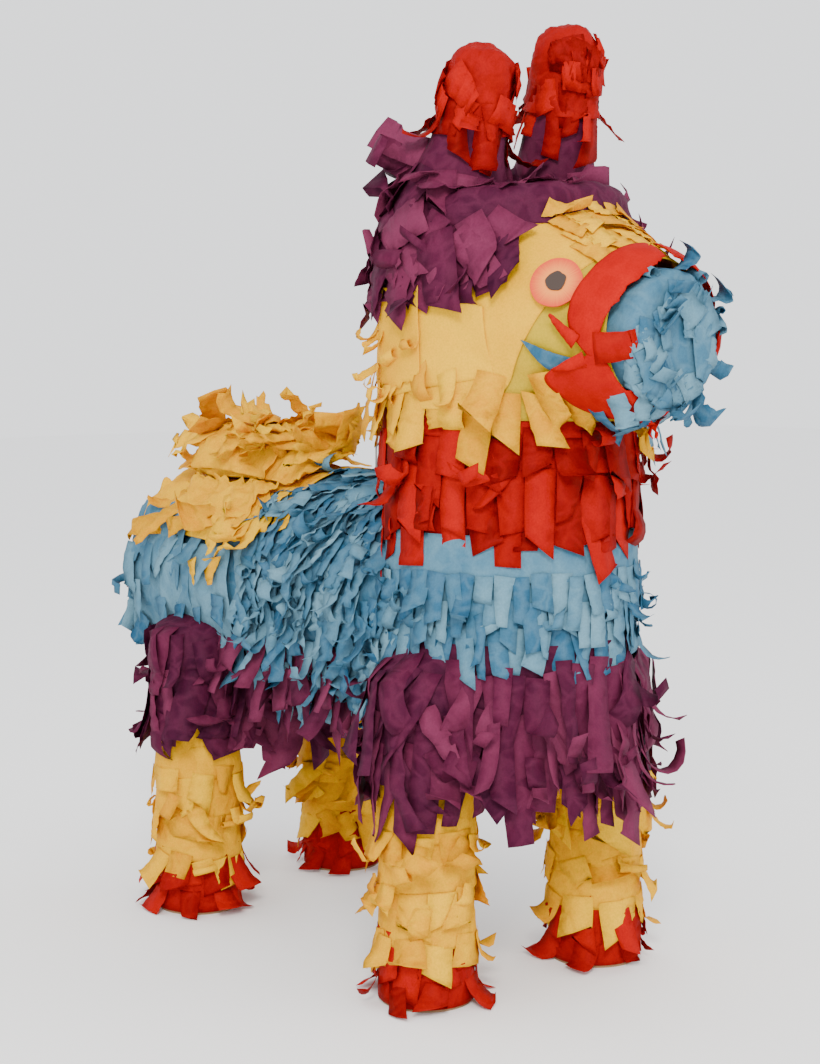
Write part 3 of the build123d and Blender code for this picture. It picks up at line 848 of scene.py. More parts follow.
def make_leg(name, seed):
    """Yellow rows down one leg and a red hoof that spreads on the floor."""
    rng = random.Random(seed)
    centre = middle(f"sole_disc_{name}")
    foot = Vector((centre.x, centre.y, 0))
    place = on_tube(foot, LEG_R)
    hoof_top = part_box(f"hoof_wrap_{name}")[1].z
    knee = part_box(f"leg_fringe_{name}")[1].z
    around = {"unit": 1 / LEG_R}
    yellow = [skin("leg_backing", place, -math.pi, math.pi, hoof_top - 0.004, knee + 0.036, 48, 12, 0.0006,
                   seed, closed=True, wrinkle=0.0005, tone=0.4)]
    v = hoof_top + 0.014
    while v < knee + 0.040:
        yellow += cut_band(place, -math.pi, math.pi, v, 0.018, 0.0190, 0.021, LEG_MIX, rng, 0.0022,
                           wrinkle=0.0013, lift=0.10, twist=0.2, drift=0.004, lean=0.2, spread=0.45,
                           tone=0.5, **around)
        v += rng.uniform(0.027, 0.033)
    yellow += strays(place, -math.pi, math.pi, hoof_top + 0.016, knee, 11, 0.010, 0.026, rng, lift=0.5,
                     lean=0.5)
    piece = join(f"leg_yellow_{name}", (yellow, YELLOW))
    finish_piece(piece, "donkey", "tissue_yellow", f"leg_fringe_{name}")
    red = [skin("hoof_backing", place, -math.pi, math.pi, 0.0006, hoof_top, 48, 8, 0.001, seed + 1,
                closed=True, wrinkle=0.0007, tone=0.5)]
    red += fringe_row(place, -math.pi, math.pi, hoof_top, 0.013, 0.030,
                      {"hanging": 3, "limp": 3, "lifted": 1}, rng, lift=0.05, twist=0.2, out=0.001,
                      **around)
    red += fringe_row(place, -math.pi, math.pi, 0.017, 0.012, 0.021,
                      {"lifted": 3, "flicked": 3, "hanging": 2}, rng, lift=0.35, twist=0.4, out=0.001,
                      lean=0.25, unit=1.9 / LEG_R)
    piece = join(f"hoof_red_{name}", (red, RED))
    settle(piece)
    finish_piece(piece, "donkey", "tissue_red", f"hoof_wrap_{name}")


def settle(piece):
    """Eases anything that would go through the floor flat on to it, in the order it lies."""
    count = len(piece.data.vertices)
    flat = np.empty(count * 3, np.float32)
    piece.data.vertices.foreach_get("co", flat)
    points = flat.reshape(-1, 3)
    low = points[:, 2] < 0.004
    points[low, 2] = 0.0004 + 0.0036 * np.exp((points[low, 2] - 0.004) / 0.0036)
    piece.data.vertices.foreach_set("co", points.ravel())


# ---- forms that sheets and strips are draped on -------------------------------------------------
class Form:
    """A closed, rounded body made of simple solids run together, and the sheets cut from its surface."""

    def __init__(self, name, solids, voxel=0.0035, rounds=10):
        deselect()
        for solid in solids:
            solid.select_set(True)
        bpy.context.view_layer.objects.active = solids[0]
        if len(solids) > 1:
            bpy.ops.object.join()
        self.model = bpy.context.object
        self.model.name = name
        merge = self.model.modifiers.new("run_together", "REMESH")
        merge.mode = "VOXEL"
        merge.voxel_size = voxel
        bpy.ops.object.modifier_apply(modifier=merge.name)
        soften = self.model.modifiers.new("soften", "SMOOTH")
        soften.iterations = rounds
        bpy.ops.object.modifier_apply(modifier=soften.name)
        bpy.ops.object.transform_apply()
        mesh = self.model.data
        self.tree = BVHTree.FromPolygons([v.co.copy() for v in mesh.vertices],
                                         [tuple(p.vertices) for p in mesh.polygons])

    def cover(self, name, cuts, out, seed, wrinkle=0.0007, size=40.0, thick=0.0005, tone=0.5):
        """The part of the surface on the kept side of each cut, as a wrinkled sheet standing off by out."""
        deselect()
        sheet = self.model.copy()
        sheet.data = self.model.data.copy()
        sheet.name = name
        bpy.context.scene.collection.objects.link(sheet)
        sheet.select_set(True)
        bpy.context.view_layer.objects.active = sheet
        bpy.ops.object.mode_set(mode="EDIT")
        for point, keep in cuts:
            bpy.ops.mesh.select_all(action="SELECT")
            bpy.ops.mesh.bisect(plane_co=point, plane_no=keep, clear_inner=True)
        bpy.ops.object.mode_set(mode="OBJECT")
        normals = [v.normal.copy() for v in sheet.data.vertices]
        for vertex, normal in zip(sheet.data.vertices, normals):
            rise = out + wrinkle * folds(vertex.co * size, seed)
            vertex.co += normal * max(rise, 0.0002)
        return thicken(sheet, thick, tone)

    def patch(self, name, edge_a, edge_b, rows, columns, out, seed, wrinkle=0.0007, size=40.0, thick=0.0005,
              tone=0.5, bulge=0.0, ragged=0.0):
        """A sheet whose two long edges follow the lines given, pressed down on to the form."""
        deselect()
        bpy.ops.mesh.primitive_grid_add(x_subdivisions=columns, y_subdivisions=rows, size=1)
        sheet = bpy.context.object
        sheet.name = name
        first = [Vector(p) for p in edge_a]
        second = [Vector(p) for p in edge_b]
        for vertex in sheet.data.vertices:
            s = vertex.co.y + 0.5
            t = 0.5 - vertex.co.x
            t = t + ragged * noise.noise(Vector((s * 14, seed, t * 2))) * t
            spot = line_at(first, s).lerp(line_at(second, s), t)
            near, facing = self.tree.find_nearest(spot)[:2]
            rise = out + wrinkle * folds(near * size, seed) + bulge * math.sin(math.pi * min(max(t, 0), 1))
            vertex.co = near + facing * max(rise, 0.0002)
        bpy.ops.object.mode_set(mode="EDIT")
        bpy.ops.mesh.select_all(action="SELECT")
        bpy.ops.mesh.normals_make_consistent(inside=False)
        bpy.ops.object.mode_set(mode="OBJECT")
        return thicken(sheet, thick, tone)

    def ring(self, centre, reach_out=0.2, turn=None):
        """Places strips on the form from a point at angle a round an upright line, at height v."""
        tree = self.tree
        fall = Vector((0, 0, -1))

        def place(a, v, x, y, out):
            ahead = Vector((-math.sin(a), -math.cos(a), 0))
            start = Vector((centre.x, centre.y, v)) + ahead * reach_out
            if turn is not None:
                start = centre + turn @ (Vector((0, 0, v)) + ahead * reach_out)
                ahead = turn @ ahead
            hit = tree.ray_cast(start, -ahead)
            if hit[0] is None:
                hit = tree.find_nearest(start)
            return wrap(tree, hit[0], hit[1], turn @ fall if turn is not None else fall, x, y, out)
        return place

    def spots(self):
        """Places strips at a given point, heading a given way: a is the point and v the way."""
        tree = self.tree

        def place(a, v, x, y, out):
            near, facing = tree.find_nearest(Vector(a))[:2]
            return wrap(tree, near, facing, Vector(v), x, y, out)
        return place

    def drop(self):
        bpy.data.objects.remove(self.model)


def wrap(tree, spot, normal, fall, x, y, out):
    """Lays flat points on a surface about a spot, with -y along the fall."""
    rise = -(fall - normal * fall.dot(normal))
    rise = rise.normalized() if rise.length > 1e-4 else normal.orthogonal().normalized()
    across = rise.cross(normal)
    found = []
    for index in range(len(x)):
        target = spot + across * float(x[index]) + rise * float(y[index])
        near, facing = tree.find_nearest(target)[:2]
        found.append(near + facing * float(out[index]))
    return np.array(found)


def line_at(points, share):
    """A point on the smooth line through the points given, at a share of its length."""
    place = share * (len(points) - 1)
    index = min(int(place), len(points) - 2)
    t = place - index
    before = points[max(index - 1, 0)]
    after = points[min(index + 2, len(points) - 1)]
    one, two = points[index], points[index + 1]
    return 0.5 * ((2 * one) + (two - before) * t + (2 * before - 5 * one + 4 * two - after) * t * t
                  + (3 * one - before - 3 * two + after) * t ** 3)


def thicken(sheet, thick, tone):
    """Gives a sheet its thickness and its tone."""
    deselect()
    sheet.select_set(True)
    bpy.context.view_layer.objects.active = sheet
    shell = sheet.modifiers.new("thickness", "SOLIDIFY")
    shell.thickness = thick
    shell.offset = 0
    bpy.ops.object.modifier_apply(modifier=shell.name)
    mark = sheet.data.attributes.new("tone", "FLOAT", "POINT")
    mark.data.foreach_set("value", np.full(len(sheet.data.vertices), tone, np.float32))
    bpy.ops.object.shade_smooth()
    return sheet


def drum(radius, low, high, foot, top_radius=None, turn=None):
    """An upright round solid, or a cone, set up from foot and turned about it."""
    deselect()
    bpy.ops.mesh.primitive_cone_add(vertices=64, radius1=radius,
                                    radius2=radius if top_radius is None else top_radius, depth=high - low,
                                    location=(0, 0, (low + high) / 2))
    bpy.ops.object.transform_apply()
    solid = bpy.context.object
    solid.data.transform(Matrix.Translation(foot) @ (turn.to_4x4() if turn is not None else Matrix()))
    return solid


def ball(radius, centre, squash=(1, 1, 1)):
    """A round solid, squashed along each axis."""
    deselect()
    bpy.ops.mesh.primitive_uv_sphere_add(segments=40, ring_count=24, radius=radius, location=centre)
    bpy.context.object.scale = squash
    bpy.ops.object.transform_apply()
    return bpy.context.object


def between(radius, top_radius, start, end):
    """A cone from one point to another."""
    axis = Vector(end) - Vector(start)
    turn = axis.to_track_quat("Z", "Y").to_matrix()
    return drum(radius, 0, axis.length, Vector(start), top_radius, turn)


# ---- head ---------------------------------------------------------------------------------------
CHEEK = Vector((0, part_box("snout_cover_yellow")[1].y,
                (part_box("snout_cone")[0].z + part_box("snout_cone")[1].z) / 2))
CHEEK_R = reach("snout_cover_yellow").x
MUZZLE_AT = Vector((0, MUZZLE_FRONT, MUZZLE.z))
LEVEL = (0, 0, 1)
LEVEL_BACK = (0, 1, 0)


def head_form():
    """Neck, head and snout as the tissue runs over them."""
    solids = [
        drum(TUBE_R + 0.003, COLLAR_Z, HAIRLINE_Z, NECK_FLOOR),
        between(TUBE_R + 0.003, CROWN_R + 0.008, (0, NECK.y, HAIRLINE_Z), (0, CROWN.y, CROWN_Z + 0.005)),
        between(CHEEK_R + 0.001, MUZZLE_R + 0.004, (0, CHEEK.y, CHEEK.z),
                MUZZLE_AT + Vector((0, 0.006, 0))),
    ]
    return Form("head_form", solids)


def muzzle_form():
    """The rounded blue nose."""
    start = MUZZLE_AT + Vector((0, 0.040, 0.001))
    solids = [between(MUZZLE_R + 0.0045, MUZZLE_R + 0.0015, start, MUZZLE_AT + Vector((0, -0.001, 0)))]
    return Form("muzzle_form", solids, voxel=0.0025, rounds=14)


def both(points, side):
    """The same line on the donkey's right (-1 keeps x as given) or mirrored to the left."""
    return [(x * (1 if side < 0 else -1), y, z) for x, y, z in points]


def make_face(head):
    """Smooth yellow cheeks, olive snout sheet, and yellow fringe at the jaw and brow."""
    rng = random.Random(21)
    ring = head.ring(NECK_FLOOR)
    spots = head.spots()
    crease_at = (0, -0.184, 0.398)
    crease_way = (0, 0.83, 0.56)
    ahead_of_crease = head.cover("snout_sheet", [((0, 0, JAW_Z - 0.002), LEVEL),
                                                 ((0, 0, 0.445), (0, 0, -1)),
                                                 ((0, -0.125, 0), (0, -1, 0)),
                                                 ((0, MUZZLE_FRONT + 0.012, 0), LEVEL_BACK)],
                                 0.0012, 5, wrinkle=0.0006, size=30)
    cheeks = head.cover("cheek_sheet", [((0, 0, JAW_Z + 0.004), LEVEL), ((0, 0, 0.449), (0, 0, -1)),
                                        (crease_at, crease_way)], 0.0026, 8, wrinkle=0.0016, size=22,
                        tone=0.75)
    over = []
    for side in (-1, 1):
        over.append(head.patch("cheek_over", both([(-0.0745, -0.085, 0.398), (-0.072, -0.120, 0.406),
                                                   (-0.061, -0.150, 0.400)], side),
                               both([(-0.0745, -0.085, 0.350), (-0.071, -0.122, 0.357),
                                     (-0.0575, -0.152, 0.362)], side),
                               24, 24, 0.0046, 31 + side, wrinkle=0.0011, size=26, tone=0.95))
        over.append(head.patch("cheek_back", both([(-0.0730, -0.078, 0.412), (-0.0745, -0.098, 0.410),
                                                   (-0.0735, -0.112, 0.412)], side),
                               both([(-0.0700, -0.066, 0.362), (-0.0745, -0.092, 0.355),
                                     (-0.0735, -0.113, 0.364)], side),
                               24, 24, 0.0054, 35 + side, wrinkle=0.0012, size=26, tone=0.6, ragged=0.1))
    strips = fringe_row(ring, -math.pi, math.pi, JAW_Z + 0.012, 0.0135, 0.032, FLAT_MIX, rng, out=0.003,
                        lift=0.10, twist=0.25, drift=0.003, lean=0.16, **AROUND)
    strips += fringe_row(ring, 0.55, 2 * math.pi - 0.55, JAW_Z + 0.026, 0.0135, 0.034, SKIRT_MIX, rng,
                         out=0.004, lift=0.16, twist=0.3, drift=0.004, lean=0.25, unit=1.7 / TUBE_R)
    strips += strays(ring, 1.45, 2.6, JAW_Z + 0.02, HAIRLINE_Z - 0.012, 9, 0.0095, 0.024, rng, lift=0.35)
    strips += strays(ring, -2.6, -1.45, JAW_Z + 0.02, HAIRLINE_Z - 0.012, 9, 0.0095, 0.024, rng, lift=0.35)
    for y, z, out in ((-0.186, 0.433, 0.0032), (-0.176, 0.438, 0.0038), (-0.164, 0.444, 0.0044),
                      (-0.152, 0.450, 0.005)):
        for x in np.arange(-0.026, 0.027, 0.0115):
            start = (x, y, z)
            strips.append(lay(pick(rng, FLAT_MIX), spots, start, (x * 0.6 - 0.03 * (x < 0), -1, -0.25),
                              0.0125 * rng.uniform(0.7, 1.3), 0.023 * rng.uniform(0.7, 1.2), rng,
                              lean=rng.gauss(0, 0.15), lift=abs(rng.gauss(0, 0.03)),
                              twist=rng.gauss(0, 0.1), out=out, taper=rng.choice((0, 0, 0.4)),
                              slant=rng.choice((0, 0.6, -0.6))))
    whole = join("face_yellow_tissue", ([ahead_of_crease], OLIVE), ([cheeks] + over, FACE),
                 (strips, YELLOW))
    finish_piece(whole, "donkey", "tissue_yellow", "face_cover_yellow", "snout_cover_yellow")


def printed_eye_material():
    """Card printed with an orange ring that pales inwards in fine spokes."""
    card = bpy.data.materials.new("printed_eye_card")
    card.use_nodes = True
    tree = card.node_tree
    shader = tree.nodes["Principled BSDF"]
    flat = add_node(tree, "ShaderNodeAttribute", attribute_name="flat").outputs["Vector"]
    part = add_node(tree, "ShaderNodeSeparateXYZ", {0: flat})
    away = add_node(tree, "ShaderNodeVectorMath", {0: flat}, operation="LENGTH")
    angle = add_node(tree, "ShaderNodeMath", {0: part.outputs[0], 1: part.outputs[1]}, operation="ARCTAN2")
    turned = add_node(tree, "ShaderNodeMath", {0: angle.outputs[0], 1: 9.0}, operation="MULTIPLY")
    spokes = add_node(tree, "ShaderNodeTexNoise", {"W": turned.outputs[0], "Scale": 1.6, "Detail": 3.0},
                      noise_dimensions="1D")
    ragged = add_node(tree, "ShaderNodeMath", {0: spokes.outputs[0], 1: -0.34, 2: away.outputs["Value"]},
                      operation="MULTIPLY_ADD")
    ramp = add_node(tree, "ShaderNodeMapRange", {"Value": ragged.outputs[0], "From Min": 0.32,
                                                 "From Max": 0.78})
    tint = add_node(tree, "ShaderNodeMix", {0: ramp.outputs[0], 6: (0.80, 0.22, 0.025, 1),
                                            7: (0.62, 0.042, 0.0005, 1)},
                    data_type="RGBA")
    tree.links.new(tint.outputs[2], shader.inputs["Base Color"])
    shader.inputs["Roughness"].default_value = 0.42
    return card


def pupil_material():
    """Flat dark brown printing ink."""
    ink = bpy.data.materials.new("brown_pupil_ink")
    ink.use_nodes = True
    shader = ink.node_tree.nodes["Principled BSDF"]
    shader.inputs["Base Color"].default_value = (0.030, 0.014, 0.008, 1)
    shader.inputs["Roughness"].default_value = 0.5
    return ink


EYE_CARD = printed_eye_material()
PUPIL_INK = pupil_material()


def card_disc(name, centre, normal, radius, thick, wobble, seed):
    """A disc cut from card by hand, face out along the normal."""
    deselect()
    bpy.ops.mesh.primitive_cylinder_add(vertices=72, radius=1, depth=1, end_fill_type="TRIFAN")
    disc = bpy.context.object
    disc.name = name
    flat = disc.data.attributes.new("flat", "FLOAT_VECTOR", "POINT")
    turn = Vector(normal).to_track_quat("Z", "Y").to_matrix()
    for index, vertex in enumerate(disc.data.vertices):
        here = vertex.co.copy()
        flat.data[index].vector = (here.x, here.y, 0)
        edge = 1 + wobble * noise.noise(Vector((here.x * 1.6 + seed, here.y * 1.6, seed)))
        vertex.co = centre + turn @ Vector((here.x * radius * edge, here.y * radius * edge, here.z * thick))
    return disc


def make_eyes():
    """A printed card disc and a dark pupil on each cheek."""
    for side, name in ((-1, "right"), (1, "left")):
        centre = middle(f"eye_disc_{name}")
        normal = Vector((side * 0.78, -0.43, 0.45)).normalized()
        centre = centre + normal * 0.0066 + Vector((0, -0.003, -0.003))
        radius = 0.0146
        eye = card_disc(f"printed_eye_{name}", centre, normal, radius, 0.0009, 0.03, 3 + side)
        eye.data.materials.append(EYE_CARD)
        finish_piece(eye, "donkey", "eye_card", f"eye_disc_{name}")
        pupil = card_disc(f"inked_pupil_{name}", centre + normal * 0.0006 + Vector((0, 0, 0.0004)), normal,
                          0.0056, 0.0006, 0.16, 7 + side)
        pupil.data.materials.append(PUPIL_INK)
        finish_piece(pupil, "donkey", "pupil_card", f"pupil_{name}")


HALTER_OUTER = [(-0.003, -0.208, 0.427), (-0.017, -0.206, 0.424), (-0.030, -0.202, 0.414),
                (-0.040, -0.198, 0.401),
                (-0.043, -0.200, 0.388), (-0.041, -0.210, 0.375)]
HALTER_INNER = [(-0.003, -0.224, 0.421), (-0.013, -0.226, 0.418), (-0.026, -0.224, 0.408),
                (-0.035, -0.220, 0.396),
                (-0.037, -0.217, 0.386), (-0.038, -0.219, 0.374)]
FAN_OUTER = [(-0.041, -0.212, 0.376), (-0.045, -0.182, 0.366), (-0.036, -0.186, 0.354),
             (-0.020, -0.195, 0.346),
             (-0.006, -0.206, 0.344), (0.001, -0.212, 0.344)]
FAN_INNER = [(-0.039, -0.219, 0.374), (-0.036, -0.219, 0.370), (-0.029, -0.221, 0.360),
             (-0.017, -0.222, 0.352),
             (-0.007, -0.223, 0.348), (0.001, -0.222, 0.347)]


def make_halter(head):
    """The red band over the nose and the fan below it, on both sides."""
    rng = random.Random(22)
    parts = []
    spots = head.spots()
    for side in (-1, 1):
        seed = 40 + side
        parts.append(head.patch("halter_band", both(HALTER_OUTER, side), both(HALTER_INNER, side), 40, 12,
                                0.0052, seed, wrinkle=0.0006, size=50, bulge=0.0012))
        parts.append(head.patch("halter_fan", both(FAN_OUTER, side), both(FAN_INNER, side), 40, 12, 0.0052,
                                seed + 5, wrinkle=0.0008, size=60, bulge=0.0010))
        sign = 1 if side < 0 else -1
        for start, way, width, length, kind, lift in (
            ((-0.0395 * sign, -0.214, 0.379), (0, -1, -0.02), 0.015, 0.026, "hanging", 0.02),
            ((-0.042 * sign, -0.204, 0.382), (0, 1, 0.9), 0.008, 0.020, "hanging", 0.05),
            ((-0.040 * sign, -0.208, 0.374), (0, 1, -0.15), 0.008, 0.020, "hanging", 0.1),
            ((-0.008 * sign, -0.214, 0.345), (0.5 * sign, -0.2, -1), 0.006, 0.016, "flicked", 0.3),
        ):
            parts.append(lay(kind, spots, start, way, width, length, rng, lift=lift, out=0.0066,
                             taper=0.75 if width < 0.01 else 0.0, tone=0.1 if width > 0.01 else 0.6))
    # The halter's brighter red is painted light on the same red tissue.
    whole = join("halter_red_tissue", (parts, LIT_HALTER_RED))
    finish_piece(whole, "donkey", "tissue_red", "halter_red")


def make_muzzle(head, nose):
    """The blue nose: a wrinkled sheet, pasted scraps, curls, chin rows and wedges."""
    rng = random.Random(23)
    parts = [nose.cover("nose_sheet", [((0, MUZZLE_FRONT + 0.030, 0), (0, -1, 0))], 0.0012, 3,
                        wrinkle=0.0016, size=70, tone=0.45)]
    spots = nose.spots()
    for _ in range(46):
        angle = rng.uniform(0, FULL)
        depth = rng.uniform(-0.002, 0.014)
        start = MUZZLE_AT + Vector((math.cos(angle) * MUZZLE_R * rng.uniform(0.45, 1.05), depth - 0.008,
                                    math.sin(angle) * MUZZLE_R * rng.uniform(0.45, 1.05)))
        parts.append(lay(pick(rng, {"folded": 2, "limp": 4, "tucked": 2, "hanging": 5}),
                         spots, start, (rng.gauss(0, 0.5), rng.gauss(-0.5, 0.3), -0.7),
                         0.0105 * rng.uniform(0.6, 1.5), 0.019 * rng.uniform(0.6, 1.3), rng,
                         lift=abs(rng.gauss(0, 0.05)), twist=rng.gauss(0, 0.15),
                         out=0.0016 + rng.uniform(0, 0.0008), crumple=0.0003))
    for angle, length, kind, way in (
        (62, 0.021, "looped", (0.4, -0.2, 1)), (38, 0.022, "hooked", (1, -0.3, 0.7)),
        (8, 0.018, "looped", (1, -0.2, 0)),
        (85, 0.018, "flicked", (0.2, -0.2, 1)), (-52, 0.024, "flicked", (0.3, -0.2, -1)),
        (112, 0.018, "looped", (0, -0.2, 1)),
        (24, 0.014, "curled", (1, -0.3, 0.3)), (-24, 0.018, "flicked", (1, -0.2, -0.4)),
    ):
        turn = math.radians(angle)
        start = MUZZLE_AT + Vector((math.cos(turn) * MUZZLE_R, 0.004, math.sin(turn) * MUZZLE_R))
        parts.append(lay(kind, spots, start, way, 0.0075, length, rng, lift=0.9, twist=0.3, out=0.002))
    cap_edge = [(0.018, -0.226, 0.412), (0.012, -0.234, 0.404), (0.010, -0.236, 0.386),
                (0.014, -0.233, 0.362)]
    parts.append(nose.patch("nose_cap", cap_edge, [(0.030, -0.214, 0.405), (0.038, -0.212, 0.392),
                                                   (0.038, -0.212, 0.376),
                                                   (0.028, -0.212, 0.360)], 24, 14, 0.0030, 5,
                            wrinkle=0.0008, tone=0.5))
    chin = head.ring(NECK_FLOOR)
    parts += fringe_row(chin, -1.0, 0.36, JAW_Z + 0.012, 0.0085, 0.036, FLAT_MIX, rng, out=0.0055,
                        lift=0.12, lean=0.15, twist=0.3, drift=0.002, **AROUND)
    parts += fringe_row(chin, -0.9, 0.34, JAW_Z + 0.018, 0.0085, 0.022, SKIRT_MIX, rng, out=0.006, lift=0.1,
                        lean=0.25, twist=0.3, drift=0.002, **AROUND)
    for side in (-1, 1):
        parts.append(head.patch("blue_wedge", both([(-0.0525, -0.171, 0.3835), (-0.047, -0.185, 0.378),
                                                    (-0.042, -0.199, 0.374)], side),
                                both([(-0.0515, -0.173, 0.381), (-0.046, -0.184, 0.368),
                                      (-0.042, -0.199, 0.366)], side),
                                16, 6, 0.0032, 9, wrinkle=0.0003, tone=0.15))
    whole = join("muzzle_blue_tissue", (parts, BLUE))
    finish_piece(whole, "donkey", "tissue_blue", "muzzle_fringe_blue")


HAIR_MIX = {"hanging": 6, "limp": 5, "lifted": 0.6, "flicked": 0.8, "tucked": 1, "kinked": 0.8,
            "folded": 0.8}


def make_hair(head):
    """Purple rows round the back of the head, and longer locks at the temples."""
    rng = random.Random(24)
    ring = head.ring(CROWN)
    base = head.cover("hair_sheet", [((0, 0, HAIRLINE_Z + 0.010), LEVEL), ((0, -0.150, 0), LEVEL_BACK),
                                     ((0, 0, CROWN_Z - 0.001), (0, 0, -1))], 0.0030, 6, wrinkle=0.0012,
                      size=34, tone=0.2)
    strips = []
    for v, length, out, start in ((HAIRLINE_Z + 0.014, 0.026, 0.003, 1.0),
                                  (HAIRLINE_Z + 0.024, 0.034, 0.0045, 0.85),
                                  (HAIRLINE_Z + 0.036, 0.034, 0.006, 0.75)):
        strips += fringe_row(ring, start, FULL - start, v, 0.0175, length, HAIR_MIX, rng, out=out,
                             lift=0.07, twist=0.2, drift=0.006, lean=0.3, crumple=0.0006, **AROUND)
    strips += strays(ring, 1.1, 2.4, HAIRLINE_Z + 0.015, CROWN_Z - 0.008, 12, 0.017, 0.030, rng, lift=0.12,
                     lean=0.9)
    strips += strays(ring, -2.4, -1.1, HAIRLINE_Z + 0.015, CROWN_Z - 0.008, 10, 0.017, 0.030, rng,
                     lift=0.12, lean=0.9)
    spots = head.spots()
    for side in (-1, 1):
        for start, way, width, length, tone in (
            ((-0.060, -0.128, 0.438), (-0.2, -1, -0.75), 0.016, 0.040, 0.9),
            ((-0.050, -0.140, 0.446), (0.1, -1, -0.5), 0.017, 0.026, 0.7),
            ((-0.066, -0.118, 0.440), (0, -0.3, -1), 0.022, 0.044, 0.3),
            ((-0.070, -0.102, 0.436), (0, 0.1, -1), 0.020, 0.044, 0.6),
            ((-0.071, -0.088, 0.438), (0, 0.5, -1), 0.021, 0.040, 0.2),
            ((-0.062, -0.110, 0.450), (0, 0.9, -0.5), 0.022, 0.034, 1.0),
        ):
            strips.append(lay("limp", spots, (start[0] * -side, start[1], start[2]),
                              (way[0] * -side, way[1], way[2]), width, length, rng, lift=0.04, twist=0.1,
                              out=0.0078, slant=rng.choice((-0.6, 0.5, 0.9)), tone=tone))
    whole = join("hair_purple_fringe", ([base], PURPLE), (strips, PURPLE))
    finish_piece(whole, "donkey", "tissue_purple", "hair_fringe_purple")


def make_crown(head):
    """Loose purple strips over the top of the head."""
    rng = random.Random(25)
    spots = head.spots()
    base = head.cover("crown_sheet", [((0, 0, CROWN_Z - 0.008), LEVEL)], 0.0030, 7, wrinkle=0.0030, size=42,
                      tone=0.2)
    strips = []
    for _ in range(36):
        x, y = rng.uniform(-0.055, 0.055), rng.uniform(-0.055, 0.052)
        if math.hypot(x, y) > 0.057:
            continue
        way = Vector((x, y - 0.02, 0.0)) + Vector((rng.gauss(0, 0.02), rng.gauss(0, 0.02), -0.004))
        strips.append(lay(pick(rng, HAIR_MIX), spots, (x, CROWN.y + y, CROWN_Z + 0.004), way,
                          0.016 * rng.uniform(0.6, 1.3), 0.028 * rng.uniform(0.7, 1.3), rng,
                          lift=abs(rng.gauss(0, 0.12)), twist=rng.gauss(0, 0.4), lean=rng.gauss(0, 0.4),
                          out=0.003, crumple=0.0008))
    whole = join("crown_purple_fringe", ([base] + strips, PURPLE))
    finish_piece(whole, "donkey", "tissue_purple", "crown_fringe_purple")


# ---- ears ---------------------------------------------------------------------------------------
EAR_X = middle("ear_cone_right").x
EAR_FOOT_Y = CROWN.y + 0.001


def ear_axis(side):
    """The ear's foot on the crown and the way it is turned, from the ends of its rolled cone."""
    foot = Vector((side * -EAR_X, EAR_FOOT_Y, CROWN_Z))
    turn = Matrix.Rotation(math.radians(13), 3, "X") @ Matrix.Rotation(math.radians(-4 * side), 3, "Y")
    return foot, turn


EAR_MIX = {"hanging": 5, "limp": 5, "lifted": 0.7, "flicked": 0.8, "kinked": 1.5, "tucked": 1}


